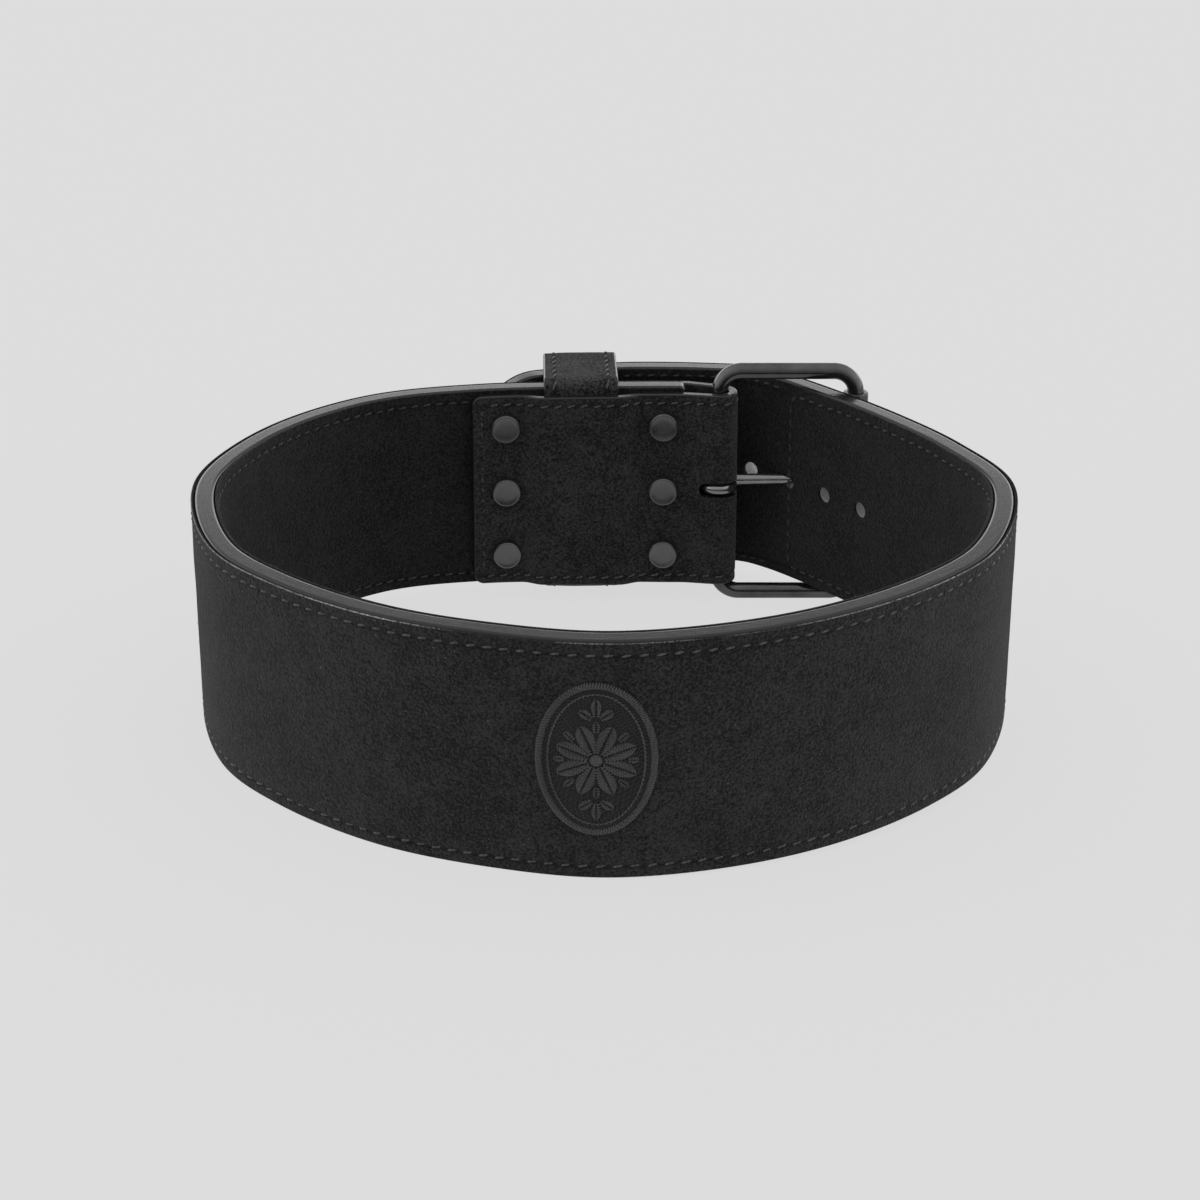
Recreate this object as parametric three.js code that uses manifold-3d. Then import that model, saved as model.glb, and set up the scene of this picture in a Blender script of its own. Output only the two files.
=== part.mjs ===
// A lifting belt, buckled into a ring: a thick leather strap faced with suede, a roller buckle
// held in a folded and riveted flap, a keeper loop round the tail, and an embroidered badge.
// Millimetres, +Z up. The belt is drawn level round the middle of the waist, with the front
// towards -Y and the buckle at the back, and is then laid on the floor as it rests.
import * as THREE from 'three';
import { mergeVertices } from 'three/addons/utils/BufferGeometryUtils.js';
import Module from 'manifold-3d';

const wasm = await Module();
wasm.setup();

// Clearances
const SEAT_GAP = 0.3;
const PLY_GAP = 0.3;

// Strap
const BELT_WIDTH = 101.6;
const CORE_THICKNESS = 8.6;
const CORE_EDGE_RADIUS = 2.4;
const FACING_THICKNESS = 1.3;
const FACING_RECESS = 0.7;
const TIP_CORNER_RADIUS = 29;
const STRAP_THICKNESS = CORE_THICKNESS + 2 * (FACING_THICKNESS + PLY_GAP);
const FACE = STRAP_THICKNESS / 2;

// Waist, to the outer face of the strap at half its height, from its widest line
const WAIST_HALF_WIDTH = 182;
const FRONT_REACH = 165.3;
const BACK_REACH = 135.5;

// How far the ring opens upwards behind and closes upwards elsewhere, as shares of its reach, and
// where on the left of the back the one passes into the other
const BACK_LEAN = 0.0475;
const RING_LEAN = 0.0104;
const LEAN_FROM = -130;
const LEAN_TO = 30;

// Buckle
const WIRE_RADIUS = 4;
const FRAME_LENGTH = 67.8;
const FRAME_ROOM = 6.95;
const FRAME_HEIGHT = BELT_WIDTH + 2 * FRAME_ROOM;
const FRAME_CORNER_RADIUS = 11;
const FRAME_RAISE = 1;
const BAR_ACROSS = 57.8;
const BAR_INSET = 4;
const BAR_GAP = 0.9;
const ROLLER_RADIUS = 6.2;
const ROLLER_END_ROOM = 10.5;
const ROLLER_LENGTH = FRAME_HEIGHT - 2 * ROLLER_END_ROOM;
const ROLLER_GAP = 3.9;
const ROLLER_SIDE_DEG = 36;
const PRONG_RADIUS = 2.7;
const PRONG_OVERHANG = 4;
const FRAME_SEAM_DROP = 25;
const FRAME_SEAM_GAP = 0.4;

// Holes for the prong
const HOLE_RADIUS = 4;
const HOLE_PITCH = 25.4;
const HOLES_TO_TIP = 4;
const HOLES_TO_RING = 2;
const PRONG_HOLE_CLEARANCE = 0.4;

// Flap: one leather strip folded round the buckle's inner bar
const CHAPE_THICKNESS = 4.2;
const CHAPE_INSET = 1.35;
const CHAPE_HEIGHT = BELT_WIDTH - 2 * CHAPE_INSET;
const CHAPE_DROP = 0.6;
const CHAPE_EDGE_RADIUS = 1.2;
const CHAPE_CORNER_RADIUS = 5;
const FLAP_LENGTH = 133.6;
const OUTER_LEG_LENGTH = 72;
const BAR_TO_STRAP = 17;
const LEG_LEAD = 2;
const SLOT_HEIGHT = 7.2;

// Keeper
const KEEPER_WIDTH = 37;
const KEEPER_THICKNESS = 2.8;
const KEEPER_CENTRE = 52;
const KEEPER_CLEARANCE = 1;
const KEEPER_HEADROOM = 2.2;
const KEEPER_FOOTROOM = 0.4;
const KEEPER_CORNER_RADIUS = 5.5;
const KEEPER_EDGE_RADIUS = 0.6;
const BULGE_RAMP = 11;

// Tail, from the buckle's inner bar to its tip
const TAIL_REACH = 119;
const TAIL_BOW = 17;

// Rivets
const RIVET_RADIUS = 7.2;
const RIVET_HEIGHT = 2.6;
const RIVET_POST_RADIUS = 2.2;
const RIVET_BACK_RADIUS = 4.6;
const RIVET_BACK_HEIGHT = 1.4;
const RIVET_CAP_GAP = 0.7;
const RIVET_ROW_PITCH = 33.4;
const RIVET_COLUMNS = [10.8, 90.2];
const TIP_GAP = RIVET_BACK_HEIGHT + 3 * SEAT_GAP;

// Badge
const BADGE_WIDTH = 46;
const BADGE_HEIGHT = 66;
const BADGE_THICKNESS = 0.9;
const BADGE_ACROSS = -3;
const BADGE_RAISE = 1.8;
const BADGE_BORDER = 3.2;
const BADGE_BORDER_RAISE = 0.5;
const BADGE_MARGIN = 4;

// Rest: the way in which the belt leans on its front edge, from straight ahead towards the left
const REST_HEADING_DEG = 23;

// Facets
const RING_STEP = 17;
const CLOSURE_STEP = 8;
const WIRE_SIDES = 10;
const HOLE_SIDES = 12;
const POST_SIDES = 8;
const RIVET_SIDES = 12;
const ROLLER_SIDES = 16;
const CUTTER_MARGIN = 1;
const CUTTER_LENGTH = 40;

// The back of the ring, left and right of the closure, as shares of the half width and back reach
const BACK_LEFT = [
  { across: -0.35, back: 0.976 },
  { across: -0.62, back: 0.875 },
  { across: -0.81, back: 0.657 },
  { across: -0.94, back: 0.36 },
];
const BACK_RIGHT = [
  { across: 0.913, back: 0.352 },
  { across: 0.78, back: 0.65 },
];
// The front of the ring from left to right, as shares of the half width and the front reach
const FRONT = [
  { across: -1, front: 0 },
  { across: -0.9, front: 0.437 },
  { across: -0.74, front: 0.652 },
  { across: -0.5, front: 0.845 },
  { across: -0.25, front: 0.951 },
  { across: 0, front: 1 },
  { across: 0.25, front: 0.9595 },
  { across: 0.5, front: 0.85 },
  { across: 0.74, front: 0.659 },
  { across: 0.9, front: 0.44 },
  { across: 1, front: 0 },
];

// The tail inside the frame, as shares of the frame's length and of the bow
const TAIL_IN_FRAME = [
  { fromBar: 0.44, bow: 0.14 },
  { fromBar: 0.23, bow: 0.73 },
  { fromBar: -0.02, bow: 0.89 },
];
// The tail past the bar, as shares of its reach and of the bow
const TAIL_PAST_BAR = [
  { reach: 0.215, bow: 1.0 },
  { reach: 0.41, bow: 1.0 },
  { reach: 0.58, bow: 0.74 },
  { reach: 0.73, bow: 0.4 },
];

const radians = THREE.MathUtils.degToRad;
const BAR = new THREE.Vector2(BAR_ACROSS, BACK_REACH - FACE - BAR_INSET);
const ROLLER = new THREE.Vector2(BAR.x + FRAME_LENGTH, BAR.y);
const MIDDLE = BELT_WIDTH / 2;
const FRAME_MIDDLE = MIDDLE + FRAME_RAISE;

// Strap route

function strapRoute() {
  const halfWidth = WAIST_HALF_WIDTH - FACE;
  const front = FRONT_REACH - FACE;
  const back = BACK_REACH - FACE;
  const points = [[BAR.x - BAR_TO_STRAP, back], [BAR.x - BAR_TO_STRAP - KEEPER_CENTRE, back]];
  for (const row of BACK_LEFT) points.push([row.across * halfWidth, row.back * back]);
  for (const row of FRONT) points.push([row.across * halfWidth, -row.front * front]);
  for (const row of BACK_RIGHT) points.push([row.across * halfWidth, row.back * back]);
  const side = radians(ROLLER_SIDE_DEG);
  const offRoller = ROLLER_RADIUS + ROLLER_GAP + FACE;
  points.push([ROLLER.x - offRoller * Math.cos(side), ROLLER.y - offRoller * Math.sin(side)]);
  const tailBase = back + STRAP_THICKNESS;
  for (const row of TAIL_IN_FRAME) {
    points.push([BAR.x + row.fromBar * FRAME_LENGTH, tailBase + row.bow * TAIL_BOW]);
  }
  for (const row of TAIL_PAST_BAR) {
    points.push([BAR.x - row.reach * TAIL_REACH, tailBase + row.bow * TAIL_BOW]);
  }
  const tipBase = BACK_LEFT[0].back * back + STRAP_THICKNESS;
  points.push([BAR.x - TAIL_REACH, tipBase + TIP_GAP]);
  const knots = points.map(([x, y]) => new THREE.Vector3(x, y, 0));
  const curve = new THREE.CatmullRomCurve3(knots, false, 'centripetal');
  curve.arcLengthDivisions = 4000;
  return curve;
}

const ROUTE = strapRoute();
const STRAP_LENGTH = ROUTE.getLength();
const CLOSURE_LENGTH = BAR.x - BAR_TO_STRAP - LEAN_FROM;

// A point of the plan, so far along the strap from the buckle end and so far out of its middle
function planPoint(along, out) {
  const share = THREE.MathUtils.clamp(along / STRAP_LENGTH, 0, 1);
  const point = ROUTE.getPointAt(share);
  const tangent = ROUTE.getTangentAt(share);
  return new THREE.Vector2(point.x + tangent.y * out, point.y - tangent.x * out);
}

// Local axes at a place on the strap: X out of it, Y up, Z back along it
function placeOnStrap(along, out, height) {
  const tangent = ROUTE.getTangentAt(along / STRAP_LENGTH);
  const outward = new THREE.Vector3(tangent.y, -tangent.x, 0);
  const up = new THREE.Vector3(0, 0, 1);
  const origin = planPoint(along, out);
  const matrix = new THREE.Matrix4().makeBasis(outward, up, outward.clone().cross(up));
  return matrix.setPosition(origin.x, origin.y, height);
}

// Distances along the strap, closer together where the closure leans out and in the tail
function stations() {
  const roller = nearestAlong(ROLLER, STRAP_LENGTH * 0.6, STRAP_LENGTH);
  const list = [
    ...evenly(0, CLOSURE_LENGTH, CLOSURE_STEP),
    ...evenly(CLOSURE_LENGTH, roller, RING_STEP),
    ...evenly(roller, STRAP_LENGTH, CLOSURE_STEP),
  ];
  list.push(STRAP_LENGTH);
  return list;
}

function evenly(from, to, step) {
  const count = Math.round((to - from) / step);
  return Array.from({ length: count }, (_, i) => THREE.MathUtils.lerp(from, to, i / count));
}

function nearestAlong(target, from, to) {
  const samples = 2000;
  let best = { along: from, distance: Infinity };
  for (let i = 0; i <= samples; i++) {
    const along = THREE.MathUtils.lerp(from, to, i / samples);
    const distance = planPoint(along, 0).distanceTo(target);
    if (distance < best.distance) best = { along, distance };
  }
  return best.along;
}

// Lean: the ring isn't quite upright. The closure leans out at the top and the rest leans in

function lean(point) {
  const rise = (point.z - MIDDLE) / BELT_WIDTH;
  const share = (point.x - LEAN_FROM) / (LEAN_TO - LEAN_FROM);
  const behind = THREE.MathUtils.clamp(share, 0, 1);
  const openness = point.y > 0 ? BACK_LEAN * behind : -RING_LEAN;
  point.x *= 1 - RING_LEAN * rise;
  point.y *= 1 + openness * rise;
  return point;
}

function leanSolid(geometry) {
  const position = geometry.getAttribute('position');
  const point = new THREE.Vector3();
  for (let i = 0; i < position.count; i++) {
    lean(point.fromBufferAttribute(position, i));
    position.setXYZ(i, point.x, point.y, point.z);
  }
  return geometry;
}

// Solids

function toManifold(geometry) {
  const bare = new THREE.BufferGeometry();
  bare.setAttribute('position', geometry.getAttribute('position').clone());
  if (geometry.index) bare.setIndex(geometry.index.clone());
  const merged = mergeVertices(bare);
  const vertProperties = new Float32Array(merged.getAttribute('position').array);
  const triVerts = new Uint32Array(merged.index.array);
  return new wasm.Manifold(new wasm.Mesh({ numProp: 3, vertProperties, triVerts }));
}

function toGeometry(manifold) {
  const mesh = manifold.getMesh();
  const geometry = new THREE.BufferGeometry();
  geometry.setAttribute('position', new THREE.BufferAttribute(mesh.vertProperties, 3));
  geometry.setIndex(new THREE.BufferAttribute(mesh.triVerts, 1));
  return geometry;
}

function cutAway(geometry, cutters) {
  let solid = toManifold(geometry);
  for (const cutter of cutters) solid = solid.subtract(toManifold(cutter));
  return toGeometry(solid);
}

// A plan outline raised to a wall, with rounded edges unless their radius is 0
function raiseWall(outline, low, high, edgeRadius, edgeSegments) {
  const shape = new THREE.Shape(outline);
  const wall = new THREE.ExtrudeGeometry(shape, {
    depth: high - low - 2 * edgeRadius,
    bevelEnabled: edgeRadius > 0,
    bevelThickness: edgeRadius,
    bevelSize: edgeRadius,
    bevelOffset: -edgeRadius,
    bevelSegments: edgeSegments,
    steps: 1,
  });
  return wall.translate(0, 0, low + edgeRadius);
}

// A line of the plan thickened to both sides
function thicken(line, half) {
  const near = [];
  const far = [];
  line.forEach((point, i) => {
    const before = line[Math.max(i - 1, 0)];
    const after = line[Math.min(i + 1, line.length - 1)];
    const tangent = after.clone().sub(before).normalize();
    const side = new THREE.Vector2(tangent.y, -tangent.x).multiplyScalar(half);
    near.push(point.clone().add(side));
    far.push(point.clone().sub(side));
  });
  return near.concat(far.reverse());
}

// Cutter for a round hole through the strap, reaching so far inwards and outwards of its middle
function holeCutter(radius, sides, along, height, inward, outward) {
  const rod = new THREE.CylinderGeometry(radius, radius, inward + outward, sides);
  rod.rotateZ(Math.PI / 2).translate((outward - inward) / 2, 0, 0);
  return rod.applyMatrix4(placeOnStrap(along, 0, height));
}

// Cutter that rounds a corner at the end of a strip; side is 1 for the upper corner
function cornerCutter(radius, thickness, place, corner, side) {
  const reach = radius + CUTTER_MARGIN;
  const depth = thickness + CUTTER_MARGIN;
  const shape = new THREE.Shape();
  shape.moveTo(0, -radius);
  shape.absarc(-radius, -radius, radius, 0, Math.PI / 2, false);
  shape.lineTo(-radius, reach - radius);
  shape.lineTo(reach - radius, reach - radius);
  shape.lineTo(reach - radius, -radius);
  const block = new THREE.ExtrudeGeometry(shape, {
    depth,
    bevelEnabled: false,
    curveSegments: 8,
  });
  block.translate(0, 0, -depth / 2);
  const axes = new THREE.Matrix4().makeBasis(
    new THREE.Vector3(0, 0, -1),
    new THREE.Vector3(0, side, 0),
    new THREE.Vector3(side, 0, 0),
  );
  axes.setPosition(0, corner, 0);
  return block.applyMatrix4(axes).applyMatrix4(place);
}

// Sweep of a round wire along stations that are given one by one
class StationCurve extends THREE.Curve {
  constructor(points) {
    super();
    this.points = points;
  }

  getPointAt(share, target = new THREE.Vector3()) {
    const place = share * (this.points.length - 1);
    const index = Math.min(Math.floor(place), this.points.length - 2);
    return target.lerpVectors(this.points[index], this.points[index + 1], place - index);
  }

  getTangentAt(share, target = new THREE.Vector3()) {
    const index = Math.round(share * (this.points.length - 1));
    const before = this.points[Math.max(index - 1, 0)];
    const after = this.points[Math.min(index + 1, this.points.length - 1)];
    return target.subVectors(after, before).normalize();
  }
}

function sweepWire(points, radius, sides) {
  const section = new THREE.Shape();
  for (let i = 0; i < sides; i++) {
    const angle = (2 * Math.PI * i) / sides;
    const corner = [radius * Math.cos(angle), radius * Math.sin(angle)];
    if (i === 0) section.moveTo(...corner);
    else section.lineTo(...corner);
  }
  return new THREE.ExtrudeGeometry(section, {
    steps: points.length - 1,
    extrudePath: new StationCurve(points),
    bevelEnabled: false,
  });
}

function arcPoints(centre, radius, fromAngle, toAngle, steps) {
  const points = [];
  for (let i = 0; i <= steps; i++) {
    const angle = THREE.MathUtils.lerp(fromAngle, toAngle, i / steps);
    points.push(new THREE.Vector2(
      centre.x + radius * Math.cos(angle),
      centre.y + radius * Math.sin(angle),
    ));
  }
  return points;
}

// Strap plies

function ply(inner, outer, recess, edgeRadius, edgeSegments) {
  const marks = stations();
  marks[0] += recess;
  marks[marks.length - 1] -= recess;
  const outline = marks.map((along) => planPoint(along, outer));
  for (const along of marks.slice().reverse()) outline.push(planPoint(along, inner));
  const wall = raiseWall(outline, recess, BELT_WIDTH - recess, edgeRadius, edgeSegments);
  return cutAway(wall, [...tipCutters(recess), ...prongHoleCutters(), ...rivetCutters()]);
}

function tipCutters(recess) {
  const place = placeOnStrap(STRAP_LENGTH - recess, 0, 0);
  const radius = TIP_CORNER_RADIUS - recess;
  return [
    cornerCutter(radius, STRAP_THICKNESS, place, BELT_WIDTH - recess, 1),
    cornerCutter(radius, STRAP_THICKNESS, place, recess, -1),
  ];
}

function prongHoleCutters() {
  const crossing = prongCrossing();
  const reach = FACE + CUTTER_MARGIN;
  const cutters = [prongPathCutter()];
  for (let i = -HOLES_TO_RING; i <= HOLES_TO_TIP; i++) {
    const along = crossing + i * HOLE_PITCH;
    cutters.push(holeCutter(HOLE_RADIUS, HOLE_SIDES, along, MIDDLE, reach, reach));
  }
  return cutters;
}

function rivetCutters() {
  const radius = (RIVET_POST_RADIUS + SEAT_GAP) / Math.cos(Math.PI / POST_SIDES);
  const deep = FACE + SEAT_GAP + CHAPE_THICKNESS + CUTTER_MARGIN;
  return rivetPlaces().map(({ along, height }) => {
    const outward = isOnLeg(along) ? deep : FACE + CUTTER_MARGIN;
    return holeCutter(radius, POST_SIDES, along, height, deep, outward);
  });
}

// Prong: a wire bent round the inner bar, through the strap and on to the roller

const PRONG_LOOP_RADIUS = WIRE_RADIUS + SEAT_GAP + PRONG_RADIUS;

function prongShank() {
  const start = new THREE.Vector2(BAR.x, BAR.y + PRONG_LOOP_RADIUS);
  const rise = ROLLER_RADIUS + SEAT_GAP + PRONG_RADIUS;
  const end = new THREE.Vector2(ROLLER.x + PRONG_OVERHANG, ROLLER.y + rise);
  return { start, end };
}

// How far along the strap the prong crosses its middle
function prongCrossing() {
  const { start, end } = prongShank();
  const samples = 200;
  let best = { along: 0, distance: Infinity };
  for (let i = 0; i <= samples; i++) {
    const point = start.clone().lerp(end, i / samples);
    const along = nearestAlong(point, STRAP_LENGTH * 0.7, STRAP_LENGTH * 0.95);
    const distance = planPoint(along, 0).distanceTo(point);
    if (distance < best.distance) best = { along, distance };
  }
  return best.along;
}

function prongPathCutter() {
  const { start, end } = prongShank();
  const radius = PRONG_RADIUS + PRONG_HOLE_CLEARANCE;
  const from = start.clone().lerp(end, 0.25);
  const line = [from, end].map((p) => new THREE.Vector3(p.x, p.y, MIDDLE));
  return sweepWire(line, radius / Math.cos(Math.PI / HOLE_SIDES), HOLE_SIDES);
}

function prong() {
  const { start, end } = prongShank();
  const loop = arcPoints(BAR, PRONG_LOOP_RADIUS, 2 * Math.PI, Math.PI / 2, 12);
  const line = [...loop, start.clone().lerp(end, 0.3), end];
  const points = line.map((p) => new THREE.Vector3(p.x, p.y, MIDDLE));
  const wire = toManifold(sweepWire(points, PRONG_RADIUS, WIRE_SIDES));
  const tip = new THREE.SphereGeometry(PRONG_RADIUS, WIRE_SIDES, 6);
  tip.translate(end.x, end.y, MIDDLE);
  return toGeometry(wire.add(toManifold(tip)));
}

// Buckle frame and roller

function buckleFrame() {
  const half = FRAME_HEIGHT / 2;
  const inset = FRAME_CORNER_RADIUS;
  const seam = FRAME_MIDDLE - FRAME_SEAM_DROP;
  const left = BAR.x;
  const right = BAR.x + FRAME_LENGTH;
  const corners = [
    { x: left + inset, y: FRAME_MIDDLE + half - inset, from: 180 },
    { x: right - inset, y: FRAME_MIDDLE + half - inset, from: 90 },
    { x: right - inset, y: FRAME_MIDDLE - half + inset, from: 0 },
    { x: left + inset, y: FRAME_MIDDLE - half + inset, from: -90 },
  ];
  const line = [new THREE.Vector2(left, seam + FRAME_SEAM_GAP / 2)];
  for (const corner of corners) {
    line.push(...arcPoints(corner, inset, radians(corner.from), radians(corner.from - 90), 4));
  }
  line.push(new THREE.Vector2(left, seam - FRAME_SEAM_GAP / 2));
  const points = line.map((p) => new THREE.Vector3(p.x, BAR.y, p.y));
  return sweepWire(points, WIRE_RADIUS, WIRE_SIDES);
}

function buckleRoller() {
  const bore = WIRE_RADIUS + SEAT_GAP;
  const half = ROLLER_LENGTH / 2;
  const lip = (ROLLER_RADIUS - bore) / 3;
  const profile = [
    [bore, -half], [ROLLER_RADIUS - lip, -half], [ROLLER_RADIUS, -half + lip],
    [ROLLER_RADIUS, half - lip], [ROLLER_RADIUS - lip, half], [bore, half], [bore, -half],
  ].map(([r, h]) => new THREE.Vector2(r, h));
  const tube = new THREE.LatheGeometry(profile, ROLLER_SIDES);
  return tube.rotateX(Math.PI / 2).translate(ROLLER.x, ROLLER.y, FRAME_MIDDLE);
}

// Chape: the inner flap, the fold round the bar, and a shorter outer leg

const LEG_OFFSET = FACE + SEAT_GAP + CHAPE_THICKNESS / 2;
const FOLD_RADIUS = WIRE_RADIUS + BAR_GAP + CHAPE_THICKNESS / 2;
const FLAP_END = FLAP_LENGTH - FOLD_RADIUS - CHAPE_THICKNESS / 2 - BAR_TO_STRAP;
const LEG_END = OUTER_LEG_LENGTH - FOLD_RADIUS - BAR_TO_STRAP;
const CHAPE_LOW = MIDDLE - CHAPE_DROP - CHAPE_HEIGHT / 2;

// How far the flap bulges over the keeper's leg
function flapBulge(along) {
  const height = KEEPER_CLEARANCE + KEEPER_THICKNESS + SEAT_GAP;
  const past = Math.abs(along - KEEPER_CENTRE) - KEEPER_WIDTH / 2 - SEAT_GAP;
  return height * (1 - THREE.MathUtils.smoothstep(past, 0, BULGE_RAMP));
}

function chapeLine() {
  const line = [];
  const flapSteps = 20;
  for (let i = 0; i <= flapSteps; i++) {
    const along = FLAP_END * (1 - i / flapSteps);
    line.push(planPoint(along, -LEG_OFFSET - flapBulge(along)));
  }
  const strapEnd = planPoint(0, 0);
  const legStart = new THREE.Vector2(strapEnd.x + LEG_LEAD, strapEnd.y + LEG_OFFSET);
  const before = line[line.length - 1].clone().sub(BAR);
  const after = legStart.clone().sub(BAR);
  const arrive = before.angle() - 2 * Math.PI + Math.acos(FOLD_RADIUS / before.length());
  const leave = after.angle() - Math.acos(FOLD_RADIUS / after.length());
  line.push(...arcPoints(BAR, FOLD_RADIUS, arrive, leave, 8));
  line.push(legStart);
  const legSteps = 6;
  for (let i = 0; i <= legSteps; i++) {
    line.push(planPoint((LEG_END * i) / legSteps, LEG_OFFSET));
  }
  return line;
}

function chape() {
  const outline = thicken(chapeLine(), CHAPE_THICKNESS / 2);
  const high = CHAPE_LOW + CHAPE_HEIGHT;
  const wall = raiseWall(outline, CHAPE_LOW, high, CHAPE_EDGE_RADIUS, 1);
  const flapPlace = placeOnStrap(FLAP_END, -LEG_OFFSET, 0);
  return cutAway(wall, [
    cornerCutter(CHAPE_CORNER_RADIUS, CHAPE_THICKNESS, flapPlace, high, 1),
    cornerCutter(CHAPE_CORNER_RADIUS, CHAPE_THICKNESS, flapPlace, CHAPE_LOW, -1),
    slotCutter(),
    ...rivetCutters(),
  ]);
}

// The slot that lets the prong turn on the bar, cut through the fold
function slotCutter() {
  const half = SLOT_HEIGHT / 2;
  const left = BAR.x - PRONG_LOOP_RADIUS - PRONG_RADIUS - SEAT_GAP;
  const right = BAR.x + FOLD_RADIUS + CHAPE_THICKNESS;
  const shape = new THREE.Shape();
  shape.moveTo(left + half, MIDDLE - half);
  shape.lineTo(right, MIDDLE - half);
  shape.lineTo(right, MIDDLE + half);
  shape.lineTo(left + half, MIDDLE + half);
  shape.absarc(left + half, MIDDLE, half, Math.PI / 2, 1.5 * Math.PI, false);
  const block = new THREE.ExtrudeGeometry(shape, {
    depth: CUTTER_LENGTH,
    bevelEnabled: false,
    curveSegments: 6,
  });
  return block.rotateX(Math.PI / 2).translate(0, BAR.y + CUTTER_LENGTH / 2, 0);
}

// Keeper: a flat loop round the strap and the tail

function roundedRectangle(low, high, radius) {
  const path = new THREE.Shape();
  path.moveTo(low.x + radius, low.y);
  path.absarc(high.x - radius, low.y + radius, radius, -Math.PI / 2, 0, false);
  path.absarc(high.x - radius, high.y - radius, radius, 0, Math.PI / 2, false);
  path.absarc(low.x + radius, high.y - radius, radius, Math.PI / 2, Math.PI, false);
  path.absarc(low.x + radius, low.y + radius, radius, Math.PI, 1.5 * Math.PI, false);
  return path;
}

function keeperLoop() {
  const depth = FACE + TAIL_BOW + STRAP_THICKNESS + KEEPER_CLEARANCE;
  const low = new THREE.Vector2(-FACE - KEEPER_CLEARANCE, -KEEPER_FOOTROOM);
  const high = new THREE.Vector2(depth, BELT_WIDTH + KEEPER_HEADROOM);
  const wall = KEEPER_THICKNESS;
  const outer = roundedRectangle(
    low.clone().subScalar(wall),
    high.clone().addScalar(wall),
    KEEPER_CORNER_RADIUS,
  );
  outer.holes.push(roundedRectangle(low, high, KEEPER_CORNER_RADIUS - wall));
  const loop = new THREE.ExtrudeGeometry(outer, {
    depth: KEEPER_WIDTH - 2 * KEEPER_EDGE_RADIUS,
    bevelThickness: KEEPER_EDGE_RADIUS,
    bevelSize: KEEPER_EDGE_RADIUS,
    bevelOffset: -KEEPER_EDGE_RADIUS,
    bevelSegments: 1,
    curveSegments: 4,
  });
  loop.translate(0, 0, KEEPER_EDGE_RADIUS - KEEPER_WIDTH / 2);
  return loop.applyMatrix4(placeOnStrap(KEEPER_CENTRE, 0, 0));
}

// Rivets

function rivetPlaces() {
  const places = [];
  for (const along of RIVET_COLUMNS) {
    for (const row of [1, 0, -1]) {
      places.push({ along, height: MIDDLE - CHAPE_DROP + row * RIVET_ROW_PITCH });
    }
  }
  return places;
}

function isOnLeg(along) {
  return along < LEG_END;
}

// One rivet: a low domed cap on the flap, a post, and a flat head on the outside
function rivet({ along, height }) {
  const seat = FACE + SEAT_GAP + CHAPE_THICKNESS + RIVET_CAP_GAP;
  const legSeat = FACE + 2 * SEAT_GAP + CHAPE_THICKNESS;
  const back = isOnLeg(along) ? legSeat : FACE + SEAT_GAP;
  const rim = RIVET_HEIGHT * 0.45;
  const profile = [
    [0, -back - RIVET_BACK_HEIGHT],
    [RIVET_BACK_RADIUS, -back - RIVET_BACK_HEIGHT],
    [RIVET_BACK_RADIUS, -back],
    [RIVET_POST_RADIUS, -back],
    [RIVET_POST_RADIUS, seat],
    [RIVET_RADIUS, seat],
    [RIVET_RADIUS, seat + rim],
    [RIVET_RADIUS * 0.8, seat + RIVET_HEIGHT * 0.85],
    [0, seat + RIVET_HEIGHT],
  ].map(([r, h]) => new THREE.Vector2(r, h));
  const body = new THREE.LatheGeometry(profile, RIVET_SIDES);
  body.rotateZ(Math.PI / 2);
  return body.applyMatrix4(placeOnStrap(along, 0, height));
}

// Badge: an embroidered oval on the front with a raised border and a small rosette

function oval(halfWidth, halfHeight) {
  const shape = new THREE.Shape();
  shape.absellipse(0, 0, halfWidth, halfHeight, 0, 2 * Math.PI, false, 0);
  return shape;
}

function rosette() {
  const shape = new THREE.Shape();
  const petals = 8;
  const pointsPerPetal = 2;
  const count = petals * pointsPerPetal;
  for (let i = 0; i < count; i++) {
    const angle = (2 * Math.PI * i) / count;
    const lobe = 0.72 + 0.28 * Math.cos(petals * angle);
    const reach = lobe * (BADGE_WIDTH / 2 - 2 * BADGE_BORDER);
    const corner = [reach * Math.sin(angle), reach * Math.cos(angle)];
    if (i === 0) shape.moveTo(...corner);
    else shape.lineTo(...corner);
  }
  return shape;
}

// The part of a skin that follows the strap's outer face inside an outline seen from the front
function onFrontFace(shape, along, height, from, to) {
  const reach = BADGE_WIDTH / 2 + BADGE_MARGIN;
  const steps = 6;
  const marks = [];
  for (let i = 0; i <= steps; i++) marks.push(along + reach * ((2 * i) / steps - 1));
  const outline = marks.map((mark) => planPoint(mark, to));
  for (const mark of marks.reverse()) outline.push(planPoint(mark, from));
  const skin = raiseWall(outline, FACING_RECESS, BELT_WIDTH - FACING_RECESS, 0, 0);
  const prism = new THREE.ExtrudeGeometry(shape, {
    depth: CUTTER_LENGTH,
    bevelEnabled: false,
    curveSegments: 12,
  });
  const place = placeOnStrap(along, 0, height);
  prism.rotateY(Math.PI / 2).applyMatrix4(place);
  return toManifold(skin).intersect(toManifold(prism));
}

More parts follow.
